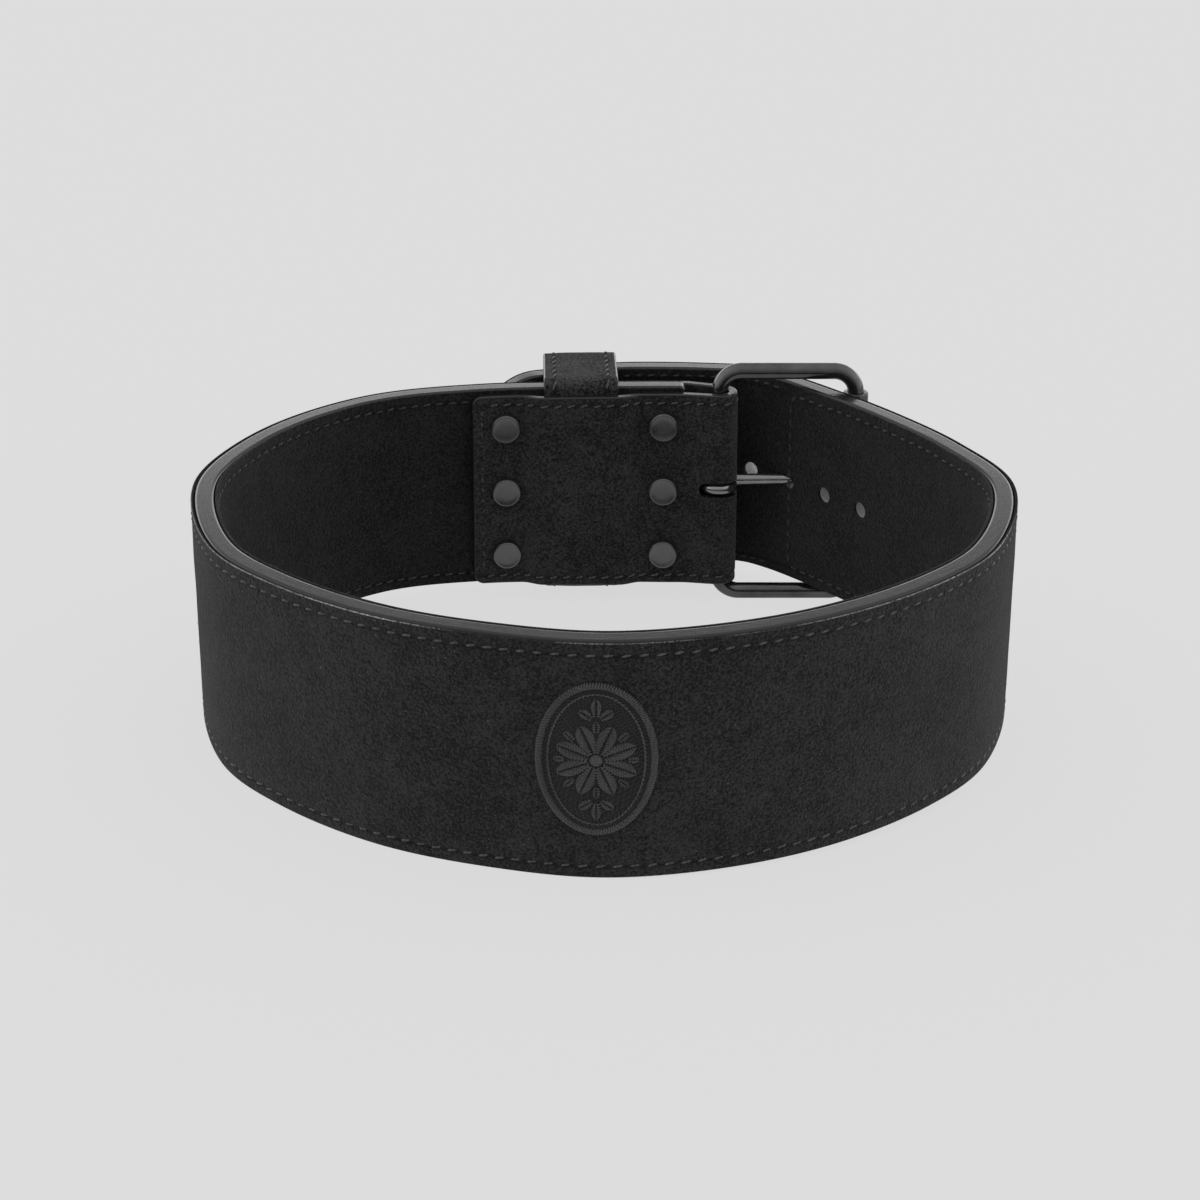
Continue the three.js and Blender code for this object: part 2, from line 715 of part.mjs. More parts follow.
function emblem() {
  const target = new THREE.Vector2(BADGE_ACROSS, -FRONT_REACH);
  const along = nearestAlong(target, STRAP_LENGTH * 0.2, STRAP_LENGTH * 0.7);
  const height = MIDDLE + BADGE_RAISE;
  const from = FACE + SEAT_GAP;
  const ground = from + BADGE_THICKNESS;
  const raised = ground + BADGE_BORDER_RAISE;
  const whole = oval(BADGE_WIDTH / 2, BADGE_HEIGHT / 2);
  const border = oval(BADGE_WIDTH / 2, BADGE_HEIGHT / 2);
  border.holes.push(oval(BADGE_WIDTH / 2 - BADGE_BORDER, BADGE_HEIGHT / 2 - BADGE_BORDER));
  const plate = onFrontFace(whole, along, height, from, ground);
  const rope = onFrontFace(border, along, height, from, raised);
  const flower = onFrontFace(rosette(), along, height, from, raised);
  return toGeometry(plate.add(rope).add(flower));
}

// Materials

function material(color, roughness, metalness) {
  return new THREE.MeshStandardMaterial({ color, roughness, metalness });
}

const LOOKS = {
  suede: () => material(0x232323, 0.95, 0),
  edge: () => material(0x3c3c3c, 0.45, 0),
  chape: () => material(0x262626, 0.92, 0),
  metal: () => material(0x2b2b2c, 0.35, 0.9),
  cap: () => material(0x4a4a4b, 0.45, 0.8),
  thread: () => material(0x2a2a2a, 0.8, 0),
};

// Assembly

const belt = new THREE.Group();

function add(name, geometry, look) {
  const mesh = new THREE.Mesh(leanSolid(geometry), look());
  mesh.name = name;
  belt.add(mesh);
}

function addStrap() {
  const half = CORE_THICKNESS / 2;
  const seat = half + PLY_GAP;
  add('strap_core', ply(-half, half, 0, CORE_EDGE_RADIUS, 2), LOOKS.edge);
  const facing = [FACING_RECESS, 0, 0];
  add('strap_face_outer', ply(seat, seat + FACING_THICKNESS, ...facing), LOOKS.suede);
  add('strap_face_inner', ply(-seat - FACING_THICKNESS, -seat, ...facing), LOOKS.suede);
}

function addClosure() {
  add('buckle_chape', chape(), LOOKS.chape);
  add('buckle_frame', buckleFrame(), LOOKS.metal);
  add('buckle_roller', buckleRoller(), LOOKS.metal);
  add('buckle_prong', prong(), LOOKS.metal);
  add('keeper_loop', keeperLoop(), LOOKS.chape);
  rivetPlaces().forEach((place, i) => add(`rivet_${i + 1}`, rivet(place), LOOKS.cap));
}

// How far a point of the plan reaches along a heading once the ring leans
function reachAt(point, height, heading) {
  const leant = lean(new THREE.Vector3(point.x, point.y, height));
  return leant.x * heading.x + leant.y * heading.y;
}

// How the belt rests: on the frame's lower bar and on the front of its own lower edge
function restTurn() {
  const heading = radians(REST_HEADING_DEG);
  const ahead = new THREE.Vector2(-Math.sin(heading), -Math.cos(heading));
  const edge = CORE_THICKNESS / 2 - CORE_EDGE_RADIUS;
  const reaches = stations().map((along) => reachAt(planPoint(along, edge), 0, ahead));
  const drop = FRAME_HEIGHT / 2 + WIRE_RADIUS - FRAME_MIDDLE;
  const span = Math.max(...reaches) - reachAt(BAR, -drop, ahead);
  const axis = new THREE.Vector3(-ahead.y, ahead.x, 0);
  return new THREE.Quaternion().setFromAxisAngle(axis, Math.atan2(drop, span));
}

function layOnFloor(group) {
  group.quaternion.copy(restTurn());
  group.updateMatrixWorld(true);
  const box = new THREE.Box3().setFromObject(group, true);
  const middle = box.getCenter(new THREE.Vector3());
  group.position.set(-middle.x, -middle.y, -box.min.z);
}

addStrap();
addClosure();
add('emblem', emblem(), LOOKS.thread);
layOnFloor(belt);

export default belt;
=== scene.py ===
import math

import bmesh
import bpy
import numpy as np
from mathutils import Matrix, Quaternion, Vector, noise


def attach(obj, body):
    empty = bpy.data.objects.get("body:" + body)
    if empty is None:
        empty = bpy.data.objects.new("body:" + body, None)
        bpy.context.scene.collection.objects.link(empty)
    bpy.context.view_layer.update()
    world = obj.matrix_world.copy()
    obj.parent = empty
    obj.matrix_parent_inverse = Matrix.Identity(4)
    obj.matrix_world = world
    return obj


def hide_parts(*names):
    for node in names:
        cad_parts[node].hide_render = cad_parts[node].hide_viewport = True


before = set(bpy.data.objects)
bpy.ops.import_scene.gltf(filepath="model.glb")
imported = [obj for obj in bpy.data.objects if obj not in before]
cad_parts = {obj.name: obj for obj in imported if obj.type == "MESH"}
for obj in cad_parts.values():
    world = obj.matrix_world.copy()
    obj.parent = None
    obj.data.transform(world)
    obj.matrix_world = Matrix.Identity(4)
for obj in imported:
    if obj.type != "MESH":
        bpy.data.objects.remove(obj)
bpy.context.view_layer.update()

# Sizes in millimetres. They are the part's own, but for two details of the strap's edge: the core's
# is sharper, and the facings reach closer to it.
BELT_WIDTH = 101.6
MIDDLE = BELT_WIDTH / 2
CORE_THICKNESS = 8.6
CORE_EDGE = 1.3
FACING_THICKNESS = 1.3
FACING_RECESS = 0.25
PLY_GAP = 0.3
SEAT_GAP = 0.3
FACE = CORE_THICKNESS / 2 + PLY_GAP + FACING_THICKNESS
STRAP_THICKNESS = 2 * FACE
TIP_CORNER = 29.0
HALF_WIDTH = 182.0
FRONT_REACH = 165.3
BACK_REACH = 135.5
BACK_LEAN, RING_LEAN, LEAN_FROM, LEAN_TO = 0.0475, 0.0104, -130.0, 30.0
WIRE = 4.0
FRAME_ROOM, ROLLER_END_ROOM, CHAPE_INSET = 6.95, 10.5, 1.35
FRAME_LENGTH, FRAME_HEIGHT, FRAME_CORNER = 67.8, BELT_WIDTH + 2 * FRAME_ROOM, 11.0
FRAME_MIDDLE = MIDDLE + 1.0
BAR = np.array((57.8, BACK_REACH - FACE - 4.0))
ROLLER = BAR + np.array((FRAME_LENGTH, 0.0))
BAR_GAP = 0.9
ROLLER_RADIUS, ROLLER_GAP, ROLLER_SIDE = 6.2, 3.9, 36.0
ROLLER_LENGTH = FRAME_HEIGHT - 2 * ROLLER_END_ROOM
PRONG, PRONG_OVERHANG, PRONG_CLEARANCE = 2.7, 4.0, 0.4
HOLE_RADIUS, HOLE_PITCH, HOLES_TO_RING, HOLES_TO_TIP = 4.0, 25.4, 2, 4
CHAPE_THICKNESS, CHAPE_DROP, CHAPE_CORNER = 4.2, 0.6, 5.0
CHAPE_HEIGHT = BELT_WIDTH - 2 * CHAPE_INSET
CHAPE_LOW = MIDDLE - CHAPE_DROP - CHAPE_HEIGHT / 2
FLAP_LENGTH, LEG_LENGTH, BAR_TO_STRAP, SLOT_HEIGHT = 133.6, 72.0, 17.0, 7.2
KEEPER_WIDTH, KEEPER_THICKNESS, KEEPER_CENTRE = 37.0, 2.8, 52.0
KEEPER_CLEARANCE, KEEPER_HEADROOM, KEEPER_FOOTROOM, KEEPER_CORNER = 1.0, 2.2, 0.4, 5.5
BULGE_RAMP = 11.0
TAIL_REACH, TAIL_BOW = 119.0, 17.0
RIVET_RADIUS, RIVET_HEIGHT, RIVET_BACK, RIVET_BACK_HEIGHT = 7.2, 2.6, 4.6, 1.4
RIVET_PITCH, RIVET_COLUMNS = 33.4, (10.8, 90.2)
CAP_GAP, CAP_DISH, POST_RADIUS = 0.7, 0.46, 2.2
TIP_GAP = RIVET_BACK_HEIGHT + 3 * SEAT_GAP
BADGE_WIDTH, BADGE_HEIGHT, BADGE_ACROSS, BADGE_RAISE, BADGE_BORDER = 46.0, 66.0, -3.0, 1.8, 3.2
BACK_LEFT = ((-0.35, 0.976), (-0.62, 0.875), (-0.81, 0.657), (-0.94, 0.36))
BACK_RIGHT = ((0.913, 0.352), (0.78, 0.65))
FRONT = (
    (-1, 0), (-0.9, 0.437), (-0.74, 0.652), (-0.5, 0.845), (-0.25, 0.951), (0, 1),
    (0.25, 0.9595), (0.5, 0.85), (0.74, 0.659), (0.9, 0.44), (1, 0),
)
TAIL_IN_FRAME = ((0.44, 0.14), (0.23, 0.73), (-0.02, 0.89))
TAIL_PAST_BAR = ((0.215, 1.0), (0.41, 1.0), (0.58, 0.74), (0.73, 0.4))

# How the level ring lies on the floor.
REST_HEADING, REST_TILT = 23.0, 1.91952
REST_SHIFT = np.array((-0.01156, 0.04448, 5.42052))

# The photograph's viewpoint, in millimetres of the level ring, and its focal length in pixels.
CAMERA_AT, CAMERA_PITCH = (-1.6, -911.0, 460.4), 24.55
FOCAL_PIXELS, PHOTO_PIXELS, SENSOR = 2214, 1200, 36.0

# The table, its half width in metres, and how brightly it glows for the camera and otherwise.
FLOOR_HALF, FLOOR_GLOW, FLOOR_FILL = 6.0, 0.657, 0.4

# The sky's strength from the sides, from above, from the low window behind, and all round.
SIDE_LIGHT, TOP_LIGHT, WINDOW_LIGHT, FILL_LIGHT = 0.85, 0.55, 1.35, 0.14

# Stitches, and how far each row runs inside its piece's edge. The keeper's rows are counted from
# its middle line.
PITCH, STITCH, THREAD = 6.5, 4.4, 0.5
SEAM_IN, TAIL_SEAM_IN, FLAP_SEAM_IN, FLAP_END_SEAM_IN = 5.4, 3.6, 4.4, 4.8
KEEPER_ROWS, KEEPER_PITCH = (-13.2, 13.2), 7.0

# On the plan's map the inner face and the edges lie apart from the outer face.
INNER_ON_MAP, EDGE_ON_MAP = 200, 500


def rest_rotation():
    h = math.radians(REST_HEADING)
    return Quaternion((math.cos(h), -math.sin(h), 0), math.radians(REST_TILT))


REST = np.array(rest_rotation().to_matrix())


def to_world(points):
    """Level ring in millimetres to the part's frame in metres."""
    p = np.asarray(points, float).reshape(-1, 3)
    rise = (p[:, 2] - MIDDLE) / BELT_WIDTH
    behind = np.clip((p[:, 0] - LEAN_FROM) / (LEAN_TO - LEAN_FROM), 0, 1)
    openness = np.where(p[:, 1] > 0, BACK_LEAN * behind, -RING_LEAN)
    q = np.stack((p[:, 0] * (1 - RING_LEAN * rise), p[:, 1] * (1 + openness * rise), p[:, 2]), 1)
    return (q @ REST.T + REST_SHIFT) / 1000


# Paths in plan


def catmull_rom(points, per_span=300):
    p = [np.array(q, float) for q in points]
    made = []
    for i in range(len(p) - 1):
        p1, p2 = p[i], p[i + 1]
        p0 = p[i - 1] if i > 0 else 2 * p[0] - p[1]
        p3 = p[i + 2] if i + 2 < len(p) else 2 * p[-1] - p[-2]
        d0, d1, d2 = (math.sqrt(np.linalg.norm(b - a)) for a, b in ((p0, p1), (p1, p2), (p2, p3)))
        t1 = d1 * ((p1 - p0) / d0 - (p2 - p0) / (d0 + d1) + (p2 - p1) / d1)
        t2 = d1 * ((p2 - p1) / d1 - (p3 - p1) / (d1 + d2) + (p3 - p2) / d2)
        t = np.linspace(0, 1, per_span, endpoint=False)[:, None]
        c2 = -3 * p1 + 3 * p2 - 2 * t1 - t2
        c3 = 2 * p1 - 2 * p2 + t1 + t2
        made.append(p1 + t1 * t + c2 * t**2 + c3 * t**3)
    return np.vstack(made + [p[-1][None]])


class Path:
    """A line of the plan that can be read by its length."""

    def __init__(self, points):
        self.p = np.asarray(points, float)
        step = np.linalg.norm(np.diff(self.p, axis=0), axis=1)
        self.s = np.concatenate(([0], np.cumsum(step)))
        self.length = self.s[-1]
        t = np.gradient(self.p, self.s, axis=0)
        self.t = t / np.linalg.norm(t, axis=1)[:, None]

    def at(self, s, out):
        s = np.asarray(s, float)
        x, y = (np.interp(s, self.s, self.p[:, k]) for k in (0, 1))
        tx, ty = (np.interp(s, self.s, self.t[:, k]) for k in (0, 1))
        n = np.hypot(tx, ty)
        return x + ty / n * out, y - tx / n * out

    def nearest(self, point, low, high):
        keep = (self.s >= low) & (self.s <= high)
        gap = np.linalg.norm(self.p[keep] - point, axis=1)
        return float(self.s[keep][gap.argmin()])

    def place(self, s, out, z):
        x, y = self.at(s, out)
        return np.stack(np.broadcast_arrays(x, y, z), -1).astype(float)


def strap_route():
    half, front, back = HALF_WIDTH - FACE, FRONT_REACH - FACE, BACK_REACH - FACE
    end = BAR[0] - BAR_TO_STRAP
    points = [(end, back), (end - KEEPER_CENTRE, back)]
    points += [(a * half, b * back) for a, b in BACK_LEFT]
    points += [(a * half, -b * front) for a, b in FRONT]
    points += [(a * half, b * back) for a, b in BACK_RIGHT]
    side, off = math.radians(ROLLER_SIDE), ROLLER_RADIUS + ROLLER_GAP + FACE
    points.append((ROLLER[0] - off * math.cos(side), ROLLER[1] - off * math.sin(side)))
    base = back + STRAP_THICKNESS
    points += [(BAR[0] + a * FRAME_LENGTH, base + b * TAIL_BOW) for a, b in TAIL_IN_FRAME]
    points += [(BAR[0] - a * TAIL_REACH, base + b * TAIL_BOW) for a, b in TAIL_PAST_BAR]
    points.append((BAR[0] - TAIL_REACH, BACK_LEFT[0][1] * back + STRAP_THICKNESS + TIP_GAP))
    return Path(catmull_rom(points))


ROUTE = strap_route()
LENGTH = ROUTE.length
LEG_OFFSET = FACE + SEAT_GAP + CHAPE_THICKNESS / 2
FOLD = WIRE + BAR_GAP + CHAPE_THICKNESS / 2
FLAP_END = FLAP_LENGTH - FOLD - CHAPE_THICKNESS / 2 - BAR_TO_STRAP
LEG_END = LEG_LENGTH - FOLD - BAR_TO_STRAP


def smoothstep(x):
    x = np.clip(x, 0, 1)
    return x * x * (3 - 2 * x)


def flap_bulge(s):
    height = KEEPER_CLEARANCE + KEEPER_THICKNESS + SEAT_GAP
    past = np.abs(s - KEEPER_CENTRE) - KEEPER_WIDTH / 2 - SEAT_GAP
    return height * (1 - smoothstep(past / BULGE_RAMP))


def arc(centre, radius, start, end, count):
    a = np.linspace(start, end, count)
    return np.stack((centre[0] + radius * np.cos(a), centre[1] + radius * np.sin(a)), 1)


def full_turn(count):
    return np.arange(count) * 2 * math.pi / count


def rounded_box(low, high, radius, count):
    """The corners of an upright rectangle as quarter turns, the first at its high right."""
    (left, bottom), (right, top) = np.add(low, radius), np.subtract(high, radius)
    centres = ((right, top), (left, top), (left, bottom), (right, bottom))
    return np.concatenate([
        arc(centre, radius, math.radians(90 * k), math.radians(90 * (k + 1)), count)
        for k, centre in enumerate(centres)])


def chape_path():
    s = np.linspace(FLAP_END, 0, 120)
    flap = np.stack(ROUTE.at(s, -LEG_OFFSET - flap_bulge(s)), 1)
    leg_s = np.linspace(0, LEG_END, 40)
    leg = np.stack(ROUTE.at(leg_s, LEG_OFFSET), 1)
    end = np.stack(ROUTE.at(0, 0))
    start = end + np.array((2, LEG_OFFSET))
    before, after = flap[-1] - BAR, start - BAR
    arrive = math.atan2(before[1], before[0]) % (2 * math.pi) - 2 * math.pi
    arrive += math.acos(FOLD / np.linalg.norm(before))
    leave = math.atan2(after[1], after[0]) - math.acos(FOLD / np.linalg.norm(after))
    points = np.vstack((flap, arc(BAR, FOLD, arrive, leave, 40), start[None], leg))
    path = Path(points)
    s = np.linspace(0, path.length, 500)
    p = np.stack(path.at(s, 0), 1)
    kernel = np.exp(-(np.arange(-7, 8) / 3.5) ** 2)
    kernel /= kernel.sum()
    padded = np.vstack((2 * p[0] - p[7:0:-1], p, 2 * p[-1] - p[-2:-9:-1]))
    return Path(np.stack([np.convolve(padded[:, k], kernel, "valid") for k in (0, 1)], 1))


CHAPE = chape_path()


# Meshes


def new_object(name, points, faces, looks, uv=None, sharp=None, which=None):
    looks = looks if isinstance(looks, (list, tuple)) else [looks]
    mesh = bpy.data.meshes.new(name)
    mesh.from_pydata(np.asarray(points).tolist(), [], [tuple(map(int, f)) for f in faces])
    for look in looks:
        mesh.materials.append(look)
    if which is not None:
        mesh.polygons.foreach_set("material_index", np.asarray(which, np.int32))
    if uv is not None:
        layer = mesh.uv_layers.new(name="plan")
        index = np.zeros(len(mesh.loops), int)
        mesh.loops.foreach_get("vertex_index", index)
        layer.data.foreach_set("uv", np.asarray(uv, np.float32)[index].ravel())
    work = bmesh.new()
    work.from_mesh(mesh)
    bmesh.ops.recalc_face_normals(work, faces=work.faces)
    work.to_mesh(mesh)
    work.free()
    mesh.shade_smooth()
    if sharp:
        mesh.set_sharp_from_angle(angle=math.radians(sharp))
    made = bpy.data.objects.new(name, mesh)
    bpy.context.scene.collection.objects.link(made)
    return made


def skin(rows, per_row, closed_rows=False):
    """Faces that join loops of per_row points, one loop after the other, with ends if open."""
    faces = []
    for i in range(rows if closed_rows else rows - 1):
        a, b = i * per_row, ((i + 1) % rows) * per_row
        for j in range(per_row):
            k = (j + 1) % per_row
            faces.append((a + j, a + k, b + k, b + j))
    if not closed_rows:
        faces.append(tuple(range(per_row - 1, -1, -1)))
        faces.append(tuple(range((rows - 1) * per_row, rows * per_row)))
    return faces


def section(a, b, low, high, radius, near, middle, arcs=5):
    """A strip's cross-section as (out, z, side) rows; side is 1 on the outer face, -1 inner."""
    radius = min(radius, (b - a) / 2 - 0.01)
    t = np.linspace(0, math.pi / 2, arcs)
    near = np.array([radius] + [n for n in near if n > radius])
    tall = high - low
    inner = np.linspace(near[-1], tall - near[-1], middle + 2)[1:-1]
    rows = np.concatenate((near[1:], inner, tall - near[:0:-1]))
    across = a + radius + (b - a - 2 * radius) * np.array((0.06, 0.5, 0.94))
    out, z, side = [], [], []

    def put(o, h, k):
        o, h = np.broadcast_arrays(o, h)
        out.extend(o)
        z.extend(h)
        side.extend([k] * len(h))

    put(a + radius - radius * np.cos(t), low + radius - radius * np.sin(t), 0)
    put(across, low, 0)
    put(b - radius + radius * np.sin(t), low + radius - radius * np.cos(t), 0)
    put(b, low + rows, 1)
    put(b - radius + radius * np.cos(t), high - radius + radius * np.sin(t), 0)
    put(across[::-1], high, 0)
    put(a + radius - radius * np.sin(t), high - radius + radius * np.cos(t), 0)
    put(a, low + rows[::-1], -1)
    return np.array(out), np.array(z), np.array(side)


def end_cut(s, length, corner):
    """How far a rounded corner at the end of a strip takes its edge in."""
    past = np.clip(s - (length - corner), 0, corner)
    return corner - np.sqrt(np.maximum(corner**2 - past**2, 0))


def marks(start, end, step, corners, round_off):
    """Stations of a strip, closer at its rounded ends."""
    s = list(np.linspace(start, end, int((end - start) / step)))
    for place, sign, corner in ((end, -1, corners[1]), (start, 1, corners[0])):
        for angle in np.linspace(0, math.pi / 2, 14):
            s.append(place + sign * corner * (1 - math.sin(angle)))
        for angle in np.linspace(0, math.pi / 2 * 0.97, 6):
            s.append(place + sign * round_off * (1 - math.sin(angle)))
    s = np.unique(np.round(s, 3))
    return s[np.concatenate(([True], np.diff(s) > 0.05))]


def strip(name, path, a, b, low, high, looks, step=2.0, start=0.0, end=None,
          corners=(3.0, 3.0), radius=0.4, near=(), middle=20, relief=None):
    """A closed strip along a path, with rounded edges; looks are its face, its edge, its holes."""
    end = path.length if end is None else end
    s_list = marks(start, end, step, corners, radius)
    points, uv, which = [], [], []
    for s in s_list:
        cut = end_cut(s - start, end - start, corners[1])
        cut = max(cut, end_cut(end - s, end - start, corners[0]))
        q = max(0, (s - (end - radius)) / radius, ((start + radius) - s) / radius)
        thin = radius * (1 - math.sqrt(max(0, 1 - min(q, 1) ** 2)))
        out, z, side = section(a + thin, b - thin, low + cut, high - cut, radius, near, middle)
        if relief is not None:
            depth = np.minimum(z - low - cut, high - cut - z)
            out = out + side * relief(s, z, depth, side)
        points.append(path.place(s, out, z))
        v = np.where(side == 0, out + EDGE_ON_MAP, z + np.where(side == -1, INNER_ON_MAP, 0))
        uv.append(np.stack((np.full(len(z), s), v), 1) / 1000)
        rim = (side == 0) & (np.roll(side, -1) == 0)
        which.append(np.where(rim | (q > 0.3), 1, 0))
    per_row = len(points[0])
    flat = np.concatenate(points)
    which = np.concatenate(which[:-1] + [[1, 1]])
    return new_object(name, to_world(flat), skin(len(points), per_row), looks,
                      np.concatenate(uv), sharp=50, which=which)


def tube(name, points, radius, look, sides=20, closed=False, flat=None):
    """A round wire along points of the level ring."""
    p = np.asarray(points, float)
    radius = np.broadcast_to(radius, len(p))
    if closed:
        t = np.roll(p, -1, 0) - np.roll(p, 1, 0)
    else:
        t = np.gradient(p, axis=0)
    t /= np.linalg.norm(t, axis=1)[:, None]
    up = np.array(flat if flat is not None else (0.0, 0.0, 1.0))
    rings = []
    angle = full_turn(sides)
    for c, d, r in zip(p, t, radius):
        u = up - d * up.dot(d)
        u /= np.linalg.norm(u)
        v = np.cross(d, u)
        rings.append(c + r * (np.cos(angle)[:, None] * u + np.sin(angle)[:, None] * v))
    return new_object(name, to_world(np.concatenate(rings)), skin(len(p), sides, closed), look,
                      sharp=60)


def lathe(name, profile, centre, axis, look, sides=48):
    """A profile of (radius, height) pairs turned round an axis of the level ring."""
    axis = np.asarray(axis, float)
    axis /= np.linalg.norm(axis)
    u = np.cross(axis, (0.31, 0.17, 0.93))
    u /= np.linalg.norm(u)
    v = np.cross(axis, u)
    profile = np.asarray(profile, float)
    rings = []
    angles = full_turn(sides)
    for q in angles:
        side = math.cos(q) * u + math.sin(q) * v
        rings.append(centre + profile[:, :1] * side + profile[:, 1:] * axis)
    faces = []
    n = len(profile)
    for i in range(sides):
        a, b = i * n, ((i + 1) % sides) * n
        for j in range(n):
            faces.append((a + j, a + (j + 1) % n, b + (j + 1) % n, b + j))
    made = new_object(name, to_world(np.concatenate(rings)), faces, look, sharp=45)
    work = bmesh.new()
    work.from_mesh(made.data)
    bmesh.ops.remove_doubles(work, verts=work.verts, dist=1e-6)
    work.to_mesh(made.data)
    work.free()
    return made


def rod(p0, p1, radius, sides=32):
    """Points and faces of a plain cylinder, for cutting."""
    p0, p1 = np.asarray(p0, float), np.asarray(p1, float)
    d = (p1 - p0) / np.linalg.norm(p1 - p0)
    u = np.cross(d, (0, 0, 1) if abs(d[2]) < 0.9 else (1, 0, 0))
    u /= np.linalg.norm(u)
    v = np.cross(d, u)
    angle = full_turn(sides)
    ring = radius * (np.cos(angle)[:, None] * u + np.sin(angle)[:, None] * v)
    return np.concatenate((p0 + ring, p1 + ring)), skin(2, sides)


def cutter(name, rods):
    points, faces = [], []
    for p, f in rods:
        shift = sum(len(q) for q in points)
        points.append(p)
        faces += [tuple(i + shift for i in face) for face in f]
    looks = [LOOK["edge"], LOOK["edge"], LOOK["raw"]]
    return new_object(name, to_world(np.concatenate(points)), faces, looks,
                      which=[2] * len(faces))


def cut(piece, *cutters):
    for c in cutters:
        step = piece.modifiers.new("cut", "BOOLEAN")
        step.operation, step.solver, step.object = "DIFFERENCE", "EXACT", c
    bpy.context.view_layer.update()
    graph = bpy.context.evaluated_depsgraph_get()
    mesh = bpy.data.meshes.new_from_object(piece.evaluated_get(graph), depsgraph=graph)
    piece.modifiers.clear()
    old, piece.data = piece.data, mesh
    mesh.name = old.name + "_cut"
    bpy.data.meshes.remove(old)


# Threads: many short strands in one mesh


def strands(name, items, place, look, rings=7, sides=6):
    """Items are rows of (u, z, direction, length, radius, base, lift); place maps (u, out, z)."""
    x = np.linspace(-1, 1, rings)
    angle = full_turn(sides)
    u0, z0, direction, length, radius, base, lift = np.array(items, float).T
    along = x[None, :] * length[:, None] / 2
    fat = radius[:, None] * np.sqrt(np.maximum(1 - np.abs(x[None, :]) ** 5, 0.05))
    height = base[:, None] + lift[:, None] * (1 - np.abs(x[None, :]) ** 2.6)
    c, s = np.cos(direction)[:, None, None], np.sin(direction)[:, None, None]
    across = fat[:, :, None] * np.cos(angle)[None, None, :]
    u = u0[:, None, None] + along[:, :, None] * c - across * s
    z = z0[:, None, None] + along[:, :, None] * s + across * c
    out = height[:, :, None] + 0.8 * fat[:, :, None] * np.sin(angle)[None, None, :]
    points = place(u.ravel(), out.ravel(), z.ravel())
    single = skin(rings, sides)
    n = rings * sides
    faces = [tuple(i + k * n for i in f) for k in range(len(items)) for f in single]
    length_on_map = along[:, :, None] + 0 * across
    uv = np.stack((length_on_map.ravel(), (z0[:, None, None] + across).ravel()), 1)
    return new_object(name, to_world(points), faces, look, uv / 1000)


def seam(line, pitch=PITCH, length=STITCH, slant=6.0, radius=THREAD, seed=1):
    """Stitches along a polyline of (u, z), each turned a little out of its line."""
    line = Path(line)
    count = int((line.length - pitch * 0.2) / pitch)
    rng = np.random.default_rng(seed)
    rows = []
    for i in range(count):
        s = (i + 0.5) * pitch
        x, z = (np.interp(s, line.s, line.p[:, k]) for k in (0, 1))
        t = [np.interp(s, line.s, line.t[:, k]) for k in (0, 1)]
        turn = math.atan2(t[1], t[0]) + math.radians(slant + rng.normal(0, 2.5))
        long = length * (1 + rng.normal(0, 0.04))
        rows.append((x, z + rng.normal(0, 0.08), turn, long, radius * (1 + rng.normal(0, 0.05)),
                     -radius, radius))
    return rows


def rounded(corners, radius):
    """A polyline of (u, z) with rounded corners."""
    p = [np.array(c, float) for c in corners]
    made = [p[0]]
    for before, here, after in zip(p, p[1:], p[2:]):
        a, b = before - here, after - here
        r = min(radius, np.linalg.norm(a) / 2, np.linalg.norm(b) / 2)
        a, b = a / np.linalg.norm(a), b / np.linalg.norm(b)
        t = np.linspace(0, 1, 9)[:, None]
        made.extend((1 - t) ** 2 * (here + a * r) + 2 * t * (1 - t) * here + t**2 * (here + b * r))
    return np.array(made + [p[-1]])


# Materials


def nodes_of(name):
    look = bpy.data.materials.new(name)
    look.use_nodes = True
    tree = look.node_tree
    return look, tree, tree.nodes["Principled BSDF"]


def add(tree, kind, settings=None, **inputs):
    node = tree.nodes.new(kind)
    for key, value in (settings or {}).items():
        setattr(node, key, value)
    for key, value in inputs.items():
        socket = node.inputs[int(key[1:])] if key[0] == "_" else node.inputs[key.replace("_", " ")]
        if isinstance(value, bpy.types.NodeSocket):
            tree.links.new(value, socket)
        else:
            socket.default_value = value
    return node


def grain(tree, where, scale, detail=3.0, rough=0.6):
    return add(tree, "ShaderNodeTexNoise", Vector=where, Scale=scale, Detail=detail,
               Roughness=rough).outputs["Fac"]


def remap(tree, value, low, high, to_low, to_high):
    return add(tree, "ShaderNodeMapRange", Value=value, _1=low, _2=high, _3=to_low,
               _4=to_high).outputs[0]


def math_node(tree, how, a, b=0.0):
    return add(tree, "ShaderNodeMath", {"operation": how}, _0=a, _1=b).outputs[0]


def blend_colour(tree, share, dark, light):
    node = add(tree, "ShaderNodeMix", {"data_type": "RGBA"})
    tree.links.new(share, node.inputs[0])
    for socket, value in ((node.inputs[6], dark), (node.inputs[7], light)):
        if isinstance(value, bpy.types.NodeSocket):
            tree.links.new(value, socket)
        else:
            socket.default_value = (*value, 1)
    return node.outputs[2]


def roughen(tree, shader, height, strength, distance):
    bump = add(tree, "ShaderNodeBump", Height=height, Strength=strength, Distance=distance)
    tree.links.new(bump.outputs[0], shader.inputs["Normal"])


def grey(value, warm=0.0):
    return (value * (1 + warm), value, value * (1 - warm))


